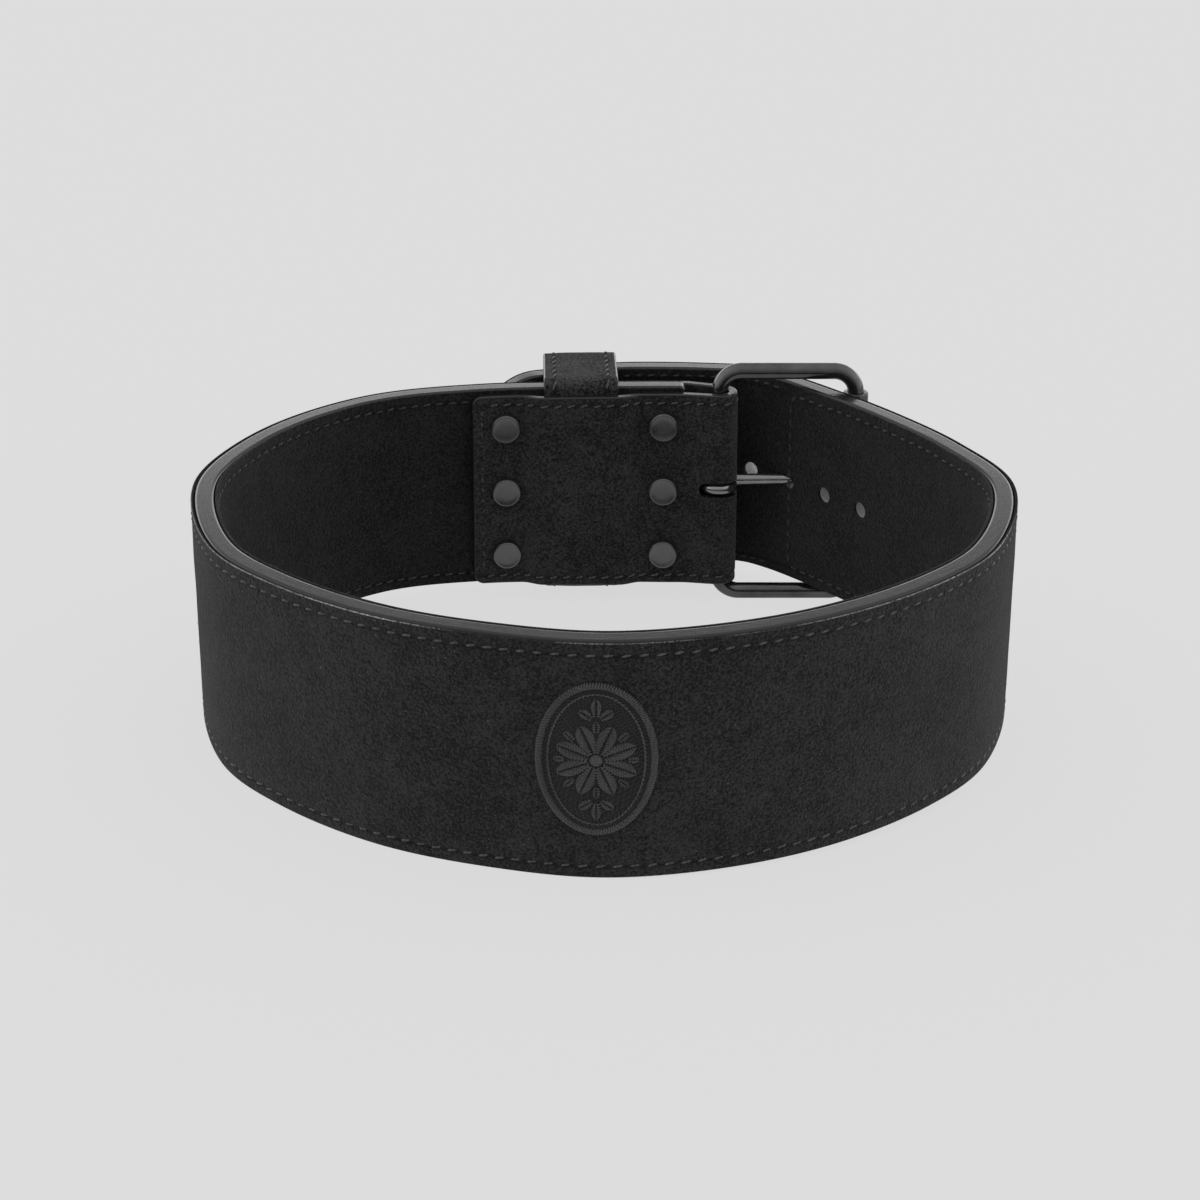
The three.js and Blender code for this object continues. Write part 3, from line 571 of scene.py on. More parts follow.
def stitch_shadow(tree, rows, pitch):
    """Painted shade: dark spots for the needle holes and a painted shadow along the groove under
    each stitch row, from the plan's map.
    """
    plan = add(tree, "ShaderNodeUVMap", {"uv_map": "plan"}).outputs[0]
    axes = add(tree, "ShaderNodeSeparateXYZ", Vector=plan).outputs
    away = None
    for row in rows:
        gap = math_node(tree, "ABSOLUTE", math_node(tree, "SUBTRACT", axes[1], row / 1000))
        away = gap if away is None else math_node(tree, "MINIMUM", away, gap)
    # Painted shadow along the groove under each stitch row.
    furrow_shade = remap(tree, away, 0.0004, 0.0017, 0.45, 0.0)
    beat = math_node(tree, "COSINE", math_node(tree, "MULTIPLY", axes[0], 2000 * math.pi / pitch))
    # Painted shade: a dark spot at each needle hole on the row.
    hole = math_node(tree, "MULTIPLY", remap(tree, beat, 0.55, 0.9, 0, 0.75),
                     remap(tree, away, 0.0005, 0.0011, 1, 0))
    return math_node(tree, "SUBTRACT", 1.0, math_node(tree, "MAXIMUM", furrow_shade, hole))


def suede(name, dark, light, sheen, lint=0.05, rows=(), pitch=PITCH):
    """Short brushed nap: cloudy tone, wispy grain, pale specks of lint."""
    look, tree, shader = nodes_of(name)
    where = add(tree, "ShaderNodeTexCoord").outputs["Object"]
    clouds = grain(tree, where, 24, 4, 0.6)
    patches = grain(tree, where, 95, 3, 0.6)
    wisps = add(tree, "ShaderNodeTexNoise", Vector=where, Scale=330, Detail=3, Roughness=0.65,
                Distortion=1.2).outputs["Fac"]
    fine = grain(tree, where, 880, 2, 0.7)
    fibre = grain(tree, where, 2300, 2, 0.6)
    tone = math_node(tree, "ADD", remap(tree, clouds, 0.32, 0.68, -0.12, 0.28),
                     remap(tree, patches, 0.3, 0.7, -0.08, 0.2))
    tone = math_node(tree, "ADD", tone, remap(tree, wisps, 0.33, 0.67, -0.12, 0.28))
    tone = math_node(tree, "ADD", tone, remap(tree, fine, 0.36, 0.66, -0.35, 0.95))
    tone = math_node(tree, "MAXIMUM", tone, 0.0)
    colour = blend_colour(tree, tone, grey(dark), grey(light))
    specks = grain(tree, where, 800, 1.5, 0.5)
    thin_out = grain(tree, where, 60, 2, 0.5)
    spot = remap(tree, specks, 0.70, 0.76, 0.0, 1.0)
    spot = math_node(tree, "MULTIPLY", spot, remap(tree, thin_out, 0.42, 0.62, 0.1, 1.0))
    colour = blend_colour(tree, spot, colour, grey(lint, 0.03))
    # Where stitch rows are given, painted shade darkens the needle holes and the groove along each
    # row.
    if rows:
        shadow = stitch_shadow(tree, rows, pitch)
        colour = blend_colour(tree, shadow, grey(0.0015), colour)
    tree.links.new(colour, shader.inputs["Base Color"])
    shader.inputs["Roughness"].default_value = 0.92
    shader.inputs["Specular IOR Level"].default_value = 0.08
    shader.inputs["Sheen Weight"].default_value = sheen
    shader.inputs["Sheen Roughness"].default_value = 0.6
    shader.inputs["Sheen Tint"].default_value = (0.75, 0.75, 0.78, 1)
    height = math_node(tree, "ADD", math_node(tree, "MULTIPLY", fine, 0.8),
                       math_node(tree, "MULTIPLY", fibre, 0.3))
    height = math_node(tree, "ADD", height, math_node(tree, "MULTIPLY", wisps, 0.9))
    roughen(tree, shader, height, 0.9, 0.0011)
    return look


def raw_leather(name, dark, light, line=None):
    """Undyed fibres at a cut: pale and speckled in stretches, or only on a line across it, where
    the pale tone is both pale fibres and a painted highlight on the rounded corner.
    """
    look, tree, shader = nodes_of(name)
    where = add(tree, "ShaderNodeTexCoord").outputs["Object"]
    stretch = grain(tree, where, 11, 3, 0.5)
    fine = grain(tree, where, 1100, 3, 0.7)
    tone = math_node(tree, "MULTIPLY", remap(tree, stretch, 0.46, 0.64, 0.08, 1.0),
                     remap(tree, fine, 0.36, 0.62, 0.0, 1.0))
    # With a line, the pale tone keeps to the outer band of the edge where the corner rounds over:
    # pale fibres and a painted highlight there.
    if line is not None:
        plan = add(tree, "ShaderNodeUVMap", {"uv_map": "plan"}).outputs[0]
        out = add(tree, "ShaderNodeSeparateXYZ", Vector=plan).outputs["Y"]
        ends = ((EDGE_ON_MAP + edge) / 1000 for edge in line)
        tone = math_node(tree, "MULTIPLY", tone, remap(tree, out, *ends, 0.0, 1.0))
    tree.links.new(blend_colour(tree, tone, grey(dark), grey(light, 0.01)),
                   shader.inputs["Base Color"])
    shader.inputs["Roughness"].default_value = 0.9
    shader.inputs["Specular IOR Level"].default_value = 0.2
    roughen(tree, shader, fine, 0.6, 0.0004)
    return look


def painted_edge(name):
    """Edge paint over cut leather: satin, with faint layers and brush streaks along it."""
    look, tree, shader = nodes_of(name)
    where = add(tree, "ShaderNodeTexCoord").outputs["Object"]
    plan = add(tree, "ShaderNodeUVMap", {"uv_map": "plan"}).outputs[0]
    drawn = add(tree, "ShaderNodeMapping", Vector=plan, Scale=(50, 1400, 1)).outputs[0]
    streaks = grain(tree, drawn, 1.0, 4, 0.6)
    clouds = grain(tree, where, 45, 3, 0.5)
    pores = grain(tree, where, 900, 3, 0.6)
    tone = math_node(tree, "ADD", remap(tree, streaks, 0.3, 0.7, 0, 0.5),
                     remap(tree, clouds, 0.3, 0.7, 0, 0.5))
    colour = blend_colour(tree, tone, grey(0.011), grey(0.028))
    tree.links.new(colour, shader.inputs["Base Color"])
    tree.links.new(remap(tree, pores, 0.3, 0.7, 0.12, 0.2), shader.inputs["Roughness"])
    shader.inputs["Specular IOR Level"].default_value = 0.5
    height = math_node(tree, "ADD", math_node(tree, "MULTIPLY", pores, 0.35), streaks)
    roughen(tree, shader, height, 0.18, 0.0003)
    return look


def thread_look(name, dark, light, twist=1400.0, rough=0.6):
    look, tree, shader = nodes_of(name)
    where = add(tree, "ShaderNodeTexCoord").outputs["Object"]
    plan = add(tree, "ShaderNodeUVMap", {"uv_map": "plan"}).outputs[0]
    turned = add(tree, "ShaderNodeMapping", Vector=plan, Rotation=(0, 0, 0.9)).outputs[0]
    ply = add(tree, "ShaderNodeTexWave", Vector=turned, Scale=twist / 6.3, Distortion=1.0)
    clouds = grain(tree, where, 150, 2, 0.5)
    tone = math_node(tree, "ADD", math_node(tree, "MULTIPLY", ply.outputs["Fac"], 0.6),
                     remap(tree, clouds, 0.3, 0.7, 0, 0.4))
    colour = blend_colour(tree, tone, grey(dark), grey(light))
    tree.links.new(colour, shader.inputs["Base Color"])
    shader.inputs["Roughness"].default_value = rough
    shader.inputs["Sheen Weight"].default_value = 0.25
    roughen(tree, shader, ply.outputs["Fac"], 0.5, 0.0002)
    return look


def black_metal(name, dark, light, rough_low, rough_high):
    """Black plated steel: soft highlights, faint clouding, fine scratches."""
    look, tree, shader = nodes_of(name)
    where = add(tree, "ShaderNodeTexCoord").outputs["Object"]
    clouds = grain(tree, where, 90, 4, 0.6)
    pits = grain(tree, where, 1300, 3, 0.6)
    drawn = add(tree, "ShaderNodeMapping", Vector=where, Scale=(140, 900, 900)).outputs[0]
    scratches = grain(tree, drawn, 3.0, 2, 0.7)
    tone = math_node(tree, "ADD", remap(tree, clouds, 0.3, 0.7, 0, 0.7),
                     remap(tree, pits, 0.3, 0.7, 0, 0.3))
    tree.links.new(blend_colour(tree, tone, grey(dark), grey(light)), shader.inputs["Base Color"])
    tree.links.new(remap(tree, clouds, 0.3, 0.7, rough_low, rough_high), shader.inputs["Roughness"])
    shader.inputs["Metallic"].default_value = 0.9
    height = math_node(tree, "ADD", math_node(tree, "MULTIPLY", pits, 0.5), scratches)
    roughen(tree, shader, height, 0.12, 0.0002)
    return look


def floor_look():
    """A pale table that glows, so that only a faint shadow shows on it."""
    look, tree, shader = nodes_of("pale_floor")
    where = add(tree, "ShaderNodeTexCoord").outputs["Object"]
    speck = grain(tree, where, 700, 2, 0.5)
    colour = blend_colour(tree, remap(tree, speck, 0.3, 0.7, 0, 1), grey(0.085), grey(0.095))
    tree.links.new(colour, shader.inputs["Base Color"])
    shader.inputs["Roughness"].default_value = 0.95
    shader.inputs["Specular IOR Level"].default_value = 0.0
    seen = add(tree, "ShaderNodeLightPath").outputs["Is Camera Ray"]
    glow = remap(tree, seen, 0, 1, FLOOR_FILL, FLOOR_GLOW)
    tree.links.new(glow, shader.inputs["Emission Strength"])
    shader.inputs["Emission Color"].default_value = (1, 1, 1, 1)
    return look


BELT_ROWS = (SEAM_IN, BELT_WIDTH - SEAM_IN)
FLAP_ROWS = (CHAPE_LOW + FLAP_SEAM_IN, CHAPE_LOW + CHAPE_HEIGHT - FLAP_SEAM_IN)
BACK_ROWS = tuple(row + INNER_ON_MAP for row in BELT_ROWS)
LOOK = {
    "outer": suede("suede_outer", 0.0038, 0.040, 0.2, 0.14, BELT_ROWS),
    "inner": suede("suede_inner", 0.0055, 0.028, 0.12, 0.10, BACK_ROWS),
    "flap": suede("suede_flap", 0.0055, 0.052, 0.2, 0.12, FLAP_ROWS),
    "keeper": suede("suede_keeper", 0.006, 0.078, 0.1, 0.12, KEEPER_ROWS, KEEPER_PITCH),
    "edge": painted_edge("painted_edge"),
    "raw": raw_leather("raw_leather", 0.45, 1.0),
    # The facings' edges: pale fibres and a painted highlight along the rounded outer corner.
    "facing_edge_highlight": raw_leather("facing_edge_highlight", 0.007, 0.60, (FACE - 0.5, FACE - 0.2)),
    "thread": thread_look("seam_thread", 0.035, 0.12),
    "thread_in": thread_look("inner_thread", 0.014, 0.05),
    "badge": thread_look("badge_thread", 0.030, 0.105, 2200.0, 0.5),
    "badge_ground": thread_look("badge_ground", 0.004, 0.015, 2200.0, 0.8),
    "hair": thread_look("lint", 0.06, 0.16),
    "metal": black_metal("black_steel", 0.085, 0.17, 0.11, 0.2),
    "prong": black_metal("prong_steel", 0.24, 0.4, 0.1, 0.18),
    "cap": black_metal("rivet_steel", 0.14, 0.21, 0.26, 0.36),
}


# Strap


def seam_relief(inset, strength=0.32, width=0.85, seed=0.0):
    """The stitch line pulls the suede in, most of all at the needle holes."""

    def relief(s, z, depth, side):
        hole = 0.7 + 0.3 * math.cos(2 * math.pi * s / PITCH)
        line = -strength * hole * np.exp(-(((depth - inset) / width) ** 2))
        waves = np.array([noise.noise(Vector((s / 21, h / 17, seed + k))) for h, k in zip(z, side)])
        return line + 0.16 * waves * np.clip((depth - 1.5) / 5, 0, 1)

    return relief


# Where the faces' rows of points lie, from the edge inwards, close together round the seam.
NEAR = (0.8, 1.6, 2.8, 3.7, 4.3, 4.8, 5.2, 5.6, 6.0, 6.5, 7.1, 8.0, 9.6, 12.0)
FLAP_NEAR = (1.3, 2.0, 2.8, 3.3, 3.8, 4.2, 4.6, 5.0, 5.5, 6.2, 7.4, 9.5, 12.0)
KEEPER_NEAR = (1.5, 3, 4.2, 4.8, 5.3, 5.8, 6.4, 8)


def prong_line():
    start = BAR + np.array((0, WIRE + SEAT_GAP + PRONG))
    end = ROLLER + np.array((PRONG_OVERHANG, ROLLER_RADIUS + SEAT_GAP + PRONG))
    return start, end


def crossing():
    """How far along the strap the prong passes through it."""
    start, end = prong_line()
    best = (1e9, 0)
    for t in np.linspace(0, 1, 400):
        point = start + (end - start) * t
        s = ROUTE.nearest(point, LENGTH * 0.7, LENGTH * 0.95)
        gap = float(np.hypot(*(np.stack(ROUTE.at(s, 0)) - point)))
        best = min(best, (gap, s))
    return best[1]


CROSSING = crossing()


def hole_cutters():
    rods = []
    for i in range(-HOLES_TO_RING, HOLES_TO_TIP + 1):
        s = CROSSING + i * HOLE_PITCH
        a, b = (ROUTE.place(s, o, MIDDLE) for o in (-FACE - 2, FACE + 2))
        rods.append(rod(a, b, HOLE_RADIUS))
    start, end = prong_line()
    a, b = ((*(start + (end - start) * t), MIDDLE) for t in (0.25, 1.0))
    prong = rod(a, b, PRONG + PRONG_CLEARANCE)
    return cutter("hole_cutter", rods), cutter("prong_cutter", [prong])


def strap():
    half = CORE_THICKNESS / 2
    seat = half + PLY_GAP
    holes = hole_cutters()
    core = strip("strap_core_edge", ROUTE, -half, half, 0, BELT_WIDTH,
                 [LOOK["edge"], LOOK["edge"], LOOK["raw"]], step=3.0,
                 corners=(2.5, TIP_CORNER), radius=CORE_EDGE, middle=4)
    ends = dict(start=FACING_RECESS, end=LENGTH - FACING_RECESS,
                corners=(2.5, TIP_CORNER - FACING_RECESS))
    low, high = FACING_RECESS, BELT_WIDTH - FACING_RECESS
    outer = strip("strap_suede_outer", ROUTE, seat, FACE, low, high,
                  [LOOK["outer"], LOOK["facing_edge_highlight"], LOOK["raw"]],
                  near=NEAR, relief=seam_relief(SEAM_IN - FACING_RECESS, seed=3.0), **ends)
    inner = strip("strap_suede_inner", ROUTE, -FACE, -seat, low, high,
                  [LOOK["inner"], LOOK["inner"], LOOK["inner"]],
                  near=NEAR, relief=seam_relief(SEAM_IN - FACING_RECESS, seed=9.0), **ends)
    for piece in (core, outer, inner):
        cut(piece, *holes)
        piece.data.set_sharp_from_angle(angle=math.radians(50))
    for c in holes:
        bpy.data.objects.remove(c)
    return (core, "strap_core", "leather_edge"), (outer, "strap_face_outer", "suede"), (
        inner, "strap_face_inner", "suede")


def strap_seams():
    low, high = SEAM_IN, BELT_WIDTH - SEAM_IN
    tip = LENGTH - SEAM_IN
    loop = rounded([(3, high), (tip, high), (tip, low), (3, low)], TIP_CORNER)
    outer = strands("seam_outer", seam(loop, slant=10, seed=2),
                    lambda u, o, z: ROUTE.place(u, FACE - 0.15 + o, z), LOOK["thread"])
    turn = CROSSING - 1.0
    ring = rounded([(3, high), (turn, high), (turn, low), (3, low)], 7.0)
    tail_low, tail_high = TAIL_SEAM_IN, BELT_WIDTH - TAIL_SEAM_IN
    tip = LENGTH - TAIL_SEAM_IN
    tail = rounded([(turn + 7, tail_high), (tip, tail_high), (tip, tail_low),
                    (turn + 7, tail_low)], TIP_CORNER)
    rows = seam(ring, slant=-6, seed=5) + seam(tail, slant=-6, seed=6)
    inner = strands("seam_inner", rows, lambda u, o, z: ROUTE.place(u, -FACE - o, z),
                    LOOK["thread_in"])
    return outer, inner


# Flap


def rivet_places():
    return [(s, MIDDLE - CHAPE_DROP + row * RIVET_PITCH) for s in RIVET_COLUMNS
            for row in (1, 0, -1)]


def on_chape(s, flap=True):
    """Where along the chape a distance along the strap lies."""
    out = -LEG_OFFSET - flap_bulge(np.array(s)) if flap else LEG_OFFSET
    point = np.stack(ROUTE.at(s, out))
    middle = CHAPE.length * 0.62
    return CHAPE.nearest(point, 0, middle) if flap else CHAPE.nearest(point, middle, CHAPE.length)


def flap():
    dimples = [(on_chape(s), z) for s, z in rivet_places()]
    line = seam_relief(FLAP_SEAM_IN, seed=17.0)

    def relief(s, z, depth, side):
        height = line(s, z, depth, side)
        for ds, dz in dimples:
            away = np.hypot(s - ds, z - dz)
            height = height - 0.55 * np.exp(-((away / 9.5) ** 2)) * (side == 1)
        return height + 0.35 * np.sin(s / 19.0 + 0.8) * (side == 1) * np.clip(depth / 20, 0, 1)

    half = CHAPE_THICKNESS / 2
    body = strip("buckle_flap", CHAPE, -half, half, CHAPE_LOW, CHAPE_LOW + CHAPE_HEIGHT,
                 [LOOK["flap"], LOOK["edge"], LOOK["edge"]], step=1.6,
                 corners=(CHAPE_CORNER, 2.0), radius=0.8, near=FLAP_NEAR, middle=34, relief=relief)
    slot = slot_cutter()
    cut(body, slot)
    body.data.set_sharp_from_angle(angle=math.radians(50))
    bpy.data.objects.remove(slot)
    return body


def slot_cutter():
    half = SLOT_HEIGHT / 2
    left = BAR[0] - WIRE - 2 * PRONG - 2 * SEAT_GAP
    right = BAR[0] + FOLD + CHAPE_THICKNESS
    angle = np.linspace(math.pi / 2, 1.5 * math.pi, 17)
    outline = [(left + half + half * math.cos(a), MIDDLE + half * math.sin(a)) for a in angle]
    outline += [(right, MIDDLE - half), (right, MIDDLE + half)]
    points = [(x, BAR[1] + d, z) for d in (-20, 20) for x, z in outline]
    return new_object("slot_cutter", to_world(points), skin(2, len(outline)), LOOK["edge"])


def flap_seams():
    low, high = FLAP_ROWS
    fold = on_chape(0.0) + BAR_TO_STRAP + FOLD * 1.9
    half = CHAPE_THICKNESS / 2
    end_in, corner_in = FLAP_END_SEAM_IN, FLAP_END_SEAM_IN + 0.4
    rows = seam([(fold, high), (corner_in, high)], slant=13, seed=11, radius=0.46)
    rows += seam([(end_in, high - 1), (end_in, low + 1)], pitch=5.7, length=3.6, slant=14,
                 seed=13, radius=0.42)
    rows += seam([(corner_in, low), (fold, low)], slant=13, seed=14, radius=0.46)
    inner = strands("seam_flap", rows, lambda u, o, z: CHAPE.place(u, half + o, z),
                    LOOK["thread"])
    start = on_chape(4.0, False)
    end = CHAPE.length - FLAP_END_SEAM_IN
    leg = rounded([(start, high), (end, high), (end, low), (start, low)], 3.0)
    outer = strands("seam_leg", seam(leg, slant=5, seed=12, radius=0.4),
                    lambda u, o, z: CHAPE.place(u, half + o, z), LOOK["thread"])
    return inner, outer


# Keeper


def keeper_frame():
    """The keeper's own origin, its way outwards, and its way along the strap."""
    x, y = ROUTE.at(KEEPER_CENTRE, 0)
    x1, y1 = ROUTE.at(KEEPER_CENTRE, 1)
    origin, outward = np.array((x, y)), np.array((x1 - x, y1 - y))
    return origin, outward, np.array((-outward[1], outward[0]))


def keeper_place(v, out, z):
    origin, outward, along = keeper_frame()
    p = origin + np.asarray(out)[..., None] * outward + np.asarray(v)[..., None] * along
    return np.concatenate((p, np.asarray(z)[..., None] + 0 * p[..., :1]), -1)


def keeper_line():
    half = KEEPER_THICKNESS / 2
    low = (-FACE - KEEPER_CLEARANCE - half, -KEEPER_FOOTROOM - half)
    high = (FACE + TAIL_BOW + STRAP_THICKNESS + KEEPER_CLEARANCE + half,
            BELT_WIDTH + KEEPER_HEADROOM + half)
    corners = rounded_box(low, high, KEEPER_CORNER - half, 12)
    return Path(np.vstack((corners, corners[:1])))


def keeper():
    closed = keeper_line()
    seam_in = KEEPER_WIDTH / 2 - KEEPER_ROWS[1]
    wide, half = KEEPER_WIDTH / 2, KEEPER_THICKNESS / 2
    rows = []
    uv = []
    for s in np.linspace(0, closed.length, 260, endpoint=False):
        w, v, side = section(-half, half, -wide, wide, 0.9, KEEPER_NEAR, 8)
        depth = wide - np.abs(v)
        pull = 0.28 * np.exp(-(((depth - seam_in) / 0.8) ** 2)) * (side == 1)
        bump = 0.12 * np.array([noise.noise(Vector((s / 9, h / 9, 4.0))) for h in v])
        crown = 0.25 * (1 - (v / wide) ** 2) * (side == 1)
        o, z = closed.at(s, w - pull + (bump + crown) * (side == 1))
        rows.append(keeper_place(v, o, z))
        uv.append(np.stack((np.full(len(v), s), v), 1) / 1000)
    n = len(rows[0])
    rim = (side == 0) & (np.roll(side, -1) == 0)
    which = np.tile(np.where(rim, 1, 0), len(rows))
    return new_object("keeper_band", to_world(np.concatenate(rows)),
                      skin(len(rows), n, closed_rows=True), [LOOK["keeper"], LOOK["edge"]],
                      np.concatenate(uv), sharp=50, which=which)


def keeper_seams():
    closed = keeper_line()
    rows = []
    for v in KEEPER_ROWS:
        rows += seam([(2, v), (closed.length - 2, v)], pitch=KEEPER_PITCH, length=5.2, slant=26,
                     seed=int(20 + v))
    half = KEEPER_THICKNESS / 2

    def place(u, out, v):
        o, z = closed.at(u, half + 0.1 + out)
        return keeper_place(v, o, z)

    return strands("seam_keeper", rows, place, LOOK["thread"])


# Buckle


def buckle_frame():
    half = FRAME_HEIGHT / 2
    line = rounded_box((BAR[0], FRAME_MIDDLE - half), (BAR[0] + FRAME_LENGTH, FRAME_MIDDLE + half),
                       FRAME_CORNER, 16)
    points = np.stack((line[:, 0], np.full(len(line), BAR[1]), line[:, 1]), 1)
    return tube("buckle_wire", points, WIRE, LOOK["metal"], 28, True, (0.0, 1.0, 0.0))


def buckle_roller():
    bore, half, lip = WIRE + SEAT_GAP, ROLLER_LENGTH / 2, 0.55
    arcs = [(ROLLER_RADIUS - lip + lip * math.sin(a), half - lip + lip * math.cos(a))
            for a in np.linspace(0, math.pi / 2, 5)]
    profile = [(bore, half), *arcs, *[(r, -h) for r, h in arcs[::-1]], (bore, -half)]
    centre = np.array((*ROLLER, FRAME_MIDDLE))
    return lathe("roller_tube", profile, centre, (0, 0, 1), LOOK["metal"])


def buckle_prong():
    start, end = prong_line()
    loop = arc(BAR, WIRE + SEAT_GAP + PRONG, 2 * math.pi, math.pi / 2, 40)
    shank = [start + (end - start) * t for t in np.linspace(0.04, 1, 30)]
    plan = np.vstack((loop, shank))
    ahead = (end - start) / np.linalg.norm(end - start)
    back = plan[0] - plan[1]
    back /= np.linalg.norm(back)
    a = np.linspace(0, math.pi / 2 * 0.96, 7)
    plan = np.vstack(([plan[0] + back * PRONG * math.sin(q) for q in a[::-1]], plan[1:-1],
                      [end + ahead * PRONG * math.sin(q) for q in a]))
    radius = np.full(len(plan), PRONG)
    radius[:7] = PRONG * np.cos(a[::-1])
    radius[-7:] = PRONG * np.cos(a)
    points = np.column_stack((plan, np.full(len(plan), MIDDLE)))
    return tube("prong_wire", points, radius, LOOK["prong"], 24)


def rivet_cap(index, s, z):
    """A low cap with a turned rim and a dished face, its post, and the flat head outside."""
    seat = FACE + SEAT_GAP + CHAPE_THICKNESS
    on_leg = s < LEG_END
    back = FACE + (2 * SEAT_GAP + CHAPE_THICKNESS if on_leg else SEAT_GAP)
    top, end = seat + CAP_GAP + RIVET_HEIGHT, -back - RIVET_BACK_HEIGHT
    r = RIVET_RADIUS
    dish = [(0.001, top - CAP_DISH), (r * 0.4, top - 0.44), (r * 0.62, top - 0.36),
            (r * 0.74, top - 0.24), (r * 0.82, top - 0.08), (r * 0.87, top)]
    wall = [(r * 0.91, top - 0.03), (r * 0.945, top - 0.16), (r * 0.97, top - 0.45),
            (r * 0.99, top - 1.1), (r, top - 1.9), (r, top - RIVET_HEIGHT), (r * 0.97, seat - 0.02)]
    post = [(POST_RADIUS, seat - 0.1), (POST_RADIUS, -back)]
    head = [(RIVET_BACK - 0.2, -back), (RIVET_BACK, -back - 0.3), (RIVET_BACK - 0.25, end + 0.3),
            (RIVET_BACK - 0.8, end), (0.001, end)]
    centre = ROUTE.place(s, 0, z)
    axis = ROUTE.place(s, -1, z) - centre
    return lathe(f"rivet_cap_{index}", dish + wall + post + head, centre, axis, LOOK["cap"], 40)


# Badge


def petal_strands(centre, angle, reach, width, rows, hub=2.6):
    """Satin stitches laid from a petal's rib to both its edges."""
    made = []
    steps = int((reach - hub) / 0.95)
    for i in range(steps):
        t = (i + 0.5) / steps
        along = hub + (reach - hub) * t
        half = width / 2 * math.sin(math.pi * min(t * 0.9 + 0.1, 1)) ** 0.75 + 0.15
        for side in (1, -1):
            turn = angle + side * math.radians(62)
            length = half / math.sin(math.radians(62))
            x = centre[0] + math.cos(angle) * along + math.cos(turn) * (length / 2 + 0.12)
            z = centre[1] + math.sin(angle) * along + math.sin(turn) * (length / 2 + 0.12)
            made.append((x, z, turn, length, 0.4, rows[0], rows[1]))
    return made


def oval_strands(a, b, pitch, turn, length, radius, rows):
    """Stitches all the way along an oval, each turned by the same angle from it."""
    t = np.linspace(0, 2 * math.pi, 721)
    line = Path(np.stack((a * np.cos(t), b * np.sin(t)), 1))
    count = int(line.length / pitch)
    made = []
    for s in np.arange(count) * line.length / count:
        x, z = (np.interp(s, line.s, line.p[:, k]) for k in (0, 1))
        tx, tz = (np.interp(s, line.s, line.t[:, k]) for k in (0, 1))
        made.append((x, z, math.atan2(tz, tx) + turn, length, radius, *rows))
    return made


def badge():
    centre_s = ROUTE.nearest(np.array((BADGE_ACROSS, -FRONT_REACH)), LENGTH * 0.2, LENGTH * 0.7)
    centre_z = MIDDLE + BADGE_RAISE
    a, b = BADGE_WIDTH / 2, BADGE_HEIGHT / 2
    ground = 0.6

    def place(u, out, z):
        return ROUTE.place(centre_s + np.asarray(u), FACE + np.asarray(out), centre_z + z)

    turns, rings = 120, ((0.985, 0.02), (0.985, 0.3), (0.96, ground), (0.5, ground), (0.02, ground))
    t = full_turn(turns)
    points = [place(a * k * np.cos(t), np.full(turns, h), b * k * np.sin(t)) for k, h in rings]
    plate = new_object("badge_ground", to_world(np.concatenate(points)),
                       skin(len(rings), turns), LOOK["badge_ground"],
                       np.concatenate([np.stack((a * k * np.cos(t), b * k * np.sin(t)), 1)
                                       for k, _ in rings]) / 1000)
    low = (ground - 0.25, 0.95)
    items = oval_strands(a - BADGE_BORDER / 2, b - BADGE_BORDER / 2, 1.0, math.radians(72),
                         BADGE_BORDER - 0.1, 0.42, low)
    items += oval_strands(a - 5.1, b - 5.1, 1.7, 0.3, 1.9, 0.34, (ground, 0.35))
    for k in range(8):
        items += petal_strands((0, 0), math.pi / 8 + k * math.pi / 4, 15.4, 6.6, low)
        items += petal_strands((0, 0), k * math.pi / 4, 16.4 if k % 4 else 15.4, 2.4,
                               (ground - 0.25, 0.7), 11.4)
    for k in range(20):
        angle = 2 * math.pi * k / 20
        items.append((1.3 * math.cos(angle), 1.3 * math.sin(angle), angle, 2.7, 0.34,
                      ground + 0.15, 0.6))
    for sign in (1, -1):
        base = (0, sign * 16.6)
        for turn, reach in ((-0.95, 7.4), (0.0, 9.2), (0.95, 7.4)):
            items += petal_strands(base, sign * math.pi / 2 + turn, reach, 3.4, low, 1.6)
    raised = strands("badge_threads", items, place, LOOK["badge"], 7, 6)
    fill = []
    for row in range(int(2 * (b - 4.2) / 0.6)):
        z = -(b - 4.2) + row * 0.6
        half = (a - 4.0) * math.sqrt(max(0, 1 - (z / (b - 4.0)) ** 2))
        x = -half + 1.3 * (row % 3)
        while x < half:
            fill.append((x, z, 0.0, 3.5, 0.27, ground - 0.15, 0.2))
            x += 3.8
    filling = strands("badge_filling", fill, place, LOOK["badge_ground"], 5, 5)
    return plate, raised, filling


# Lint


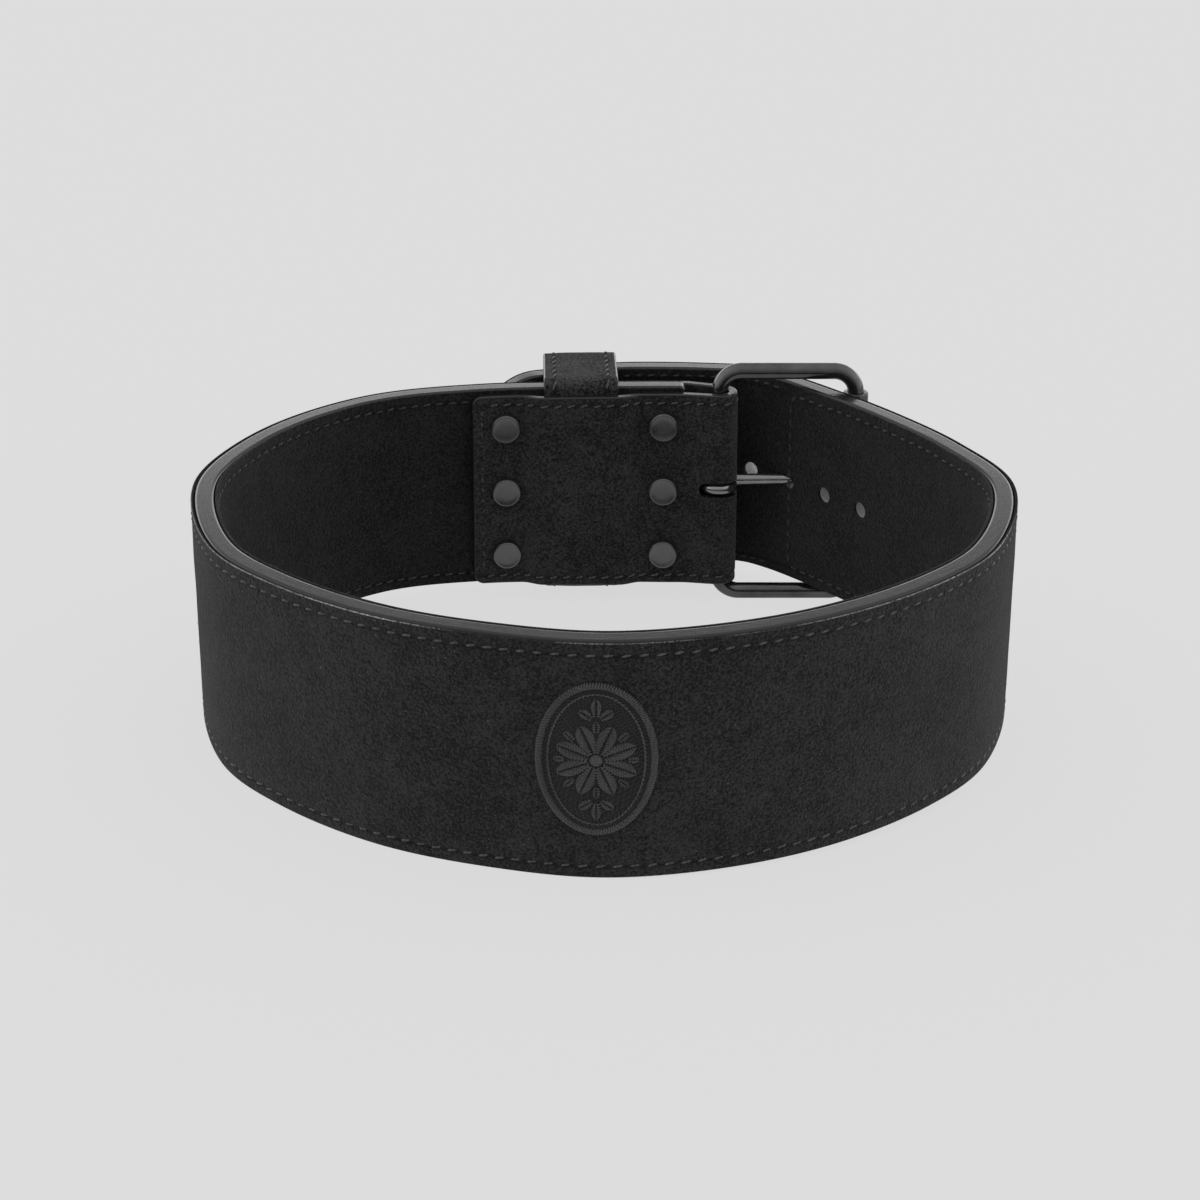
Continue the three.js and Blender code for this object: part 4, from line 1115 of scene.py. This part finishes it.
def lint():
    """A few pale hairs that cling to the nap of the outer face."""
    rng = np.random.default_rng(41)
    points, faces = [], []
    sides, steps = 4, 9
    for _ in range(130):
        s, z = rng.uniform(30, LENGTH - 40), rng.uniform(3, BELT_WIDTH - 3)
        turn, bend = rng.uniform(0, 2 * math.pi), rng.uniform(-2.4, 2.4)
        length = rng.uniform(1.2, 3.6)
        face = FACE if rng.random() < 0.7 else -FACE
        heading = turn + bend * np.linspace(0, 1, steps)
        u = s + np.cumsum(np.cos(heading)) * length / steps
        h = np.clip(z + np.cumsum(np.sin(heading)) * length / steps, 1.5, BELT_WIDTH - 1.5)
        lift = 0.05 + 0.35 * np.sin(np.linspace(0, math.pi, steps)) * rng.uniform(0.1, 1)
        angle = full_turn(sides)
        r = 0.055
        su = u[:, None] - np.sin(heading)[:, None] * r * np.cos(angle)
        sh = h[:, None] + np.cos(heading)[:, None] * r * np.cos(angle)
        so = lift[:, None] + r * np.sin(angle)
        shift = len(points) * sides * steps
        points.append(ROUTE.place(su.ravel(), (face + np.sign(face) * so).ravel(), sh.ravel()))
        faces += [tuple(i + shift for i in f) for f in skin(steps, sides)]
    flat = np.concatenate(points)
    return new_object("lint", to_world(flat), faces, LOOK["hair"], np.zeros((len(flat), 2)))


# Assembly


def finish_piece(piece, nodes=(), slot=None):
    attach(piece, "root")
    if nodes:
        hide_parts(*nodes)


def build():
    for piece, node, slot in strap():
        finish_piece(piece, [node], slot)
    for piece in strap_seams():
        finish_piece(piece, slot="thread")
    finish_piece(flap(), ["buckle_chape"], "flap_suede")
    for piece in flap_seams():
        finish_piece(piece, slot="thread")
    finish_piece(keeper(), ["keeper_loop"], "flap_suede")
    finish_piece(keeper_seams(), slot="thread")
    finish_piece(buckle_frame(), ["buckle_frame"], "black_metal")
    finish_piece(buckle_roller(), ["buckle_roller"], "black_metal")
    finish_piece(buckle_prong(), ["buckle_prong"], "black_metal")
    for i, (s, z) in enumerate(rivet_places(), 1):
        finish_piece(rivet_cap(i, s, z), [f"rivet_{i}"], "rivet_metal")
    plate, raised, filling = badge()
    finish_piece(plate, ["emblem"], "thread")
    finish_piece(raised, slot="thread")
    finish_piece(filling, slot="thread")
    finish_piece(lint(), slot="suede")


def floor():
    corners = [(x * FLOOR_HALF, y * FLOOR_HALF, 0) for x, y in ((-1, -1), (1, -1), (1, 1), (-1, 1))]
    mesh = bpy.data.meshes.new("floor")
    mesh.from_pydata(corners, [], [(0, 1, 2, 3)])
    mesh.materials.append(floor_look())
    made = bpy.data.objects.new("floor", mesh)
    bpy.context.scene.collection.objects.link(made)


def camera():
    """The photograph's viewpoint, given for the level ring and laid down with it."""
    pitch = math.radians(CAMERA_PITCH)
    data = bpy.data.cameras.new("camera")
    data.sensor_width, data.lens = SENSOR, FOCAL_PIXELS / PHOTO_PIXELS * SENSOR
    data.clip_start, data.clip_end = 0.05, 20
    made = bpy.data.objects.new("camera", data)
    axes = Matrix(((1, 0, 0), (0, math.sin(pitch), -math.cos(pitch)),
                   (0, math.cos(pitch), math.sin(pitch))))
    turn = rest_rotation().to_matrix()
    made.rotation_mode = "QUATERNION"
    made.rotation_quaternion = (turn @ axes).to_quaternion()
    made.location = (turn @ Vector(CAMERA_AT) + Vector(REST_SHIFT)) / 1000
    bpy.context.scene.collection.objects.link(made)
    bpy.context.scene.camera = made


def light():
    """A soft studio sky: broad panels at both sides and above, and a long low one behind."""
    world = bpy.data.worlds.new("studio")
    bpy.context.scene.world = world
    world.use_nodes = True
    tree = world.node_tree
    sky = tree.nodes["Background"]
    where = add(tree, "ShaderNodeTexCoord").outputs["Generated"]
    axes = add(tree, "ShaderNodeSeparateXYZ", Vector=where).outputs
    side = math_node(tree, "POWER", math_node(tree, "ABSOLUTE", axes[0]), 2.5)
    top = math_node(tree, "MAXIMUM", axes[2], 0.0)
    level = math_node(tree, "ADD", math_node(tree, "MULTIPLY", side, SIDE_LIGHT),
                      math_node(tree, "MULTIPLY", top, TOP_LIGHT))
    behind = remap(tree, axes[1], 0.2, 0.75, 0.0, 1.0)
    low_down = remap(tree, axes[2], 0.345, 0.39, 1.0, 0.0)
    window = math_node(tree, "MULTIPLY", behind, low_down)
    level = math_node(tree, "ADD", level, math_node(tree, "MULTIPLY", window, WINDOW_LIGHT))
    level = math_node(tree, "ADD", level, FILL_LIGHT)
    tree.links.new(level, sky.inputs["Strength"])
    sky.inputs["Color"].default_value = (1, 1, 1, 1)
    bpy.context.scene.view_settings.view_transform = "Standard"


build()
floor()
camera()
light()
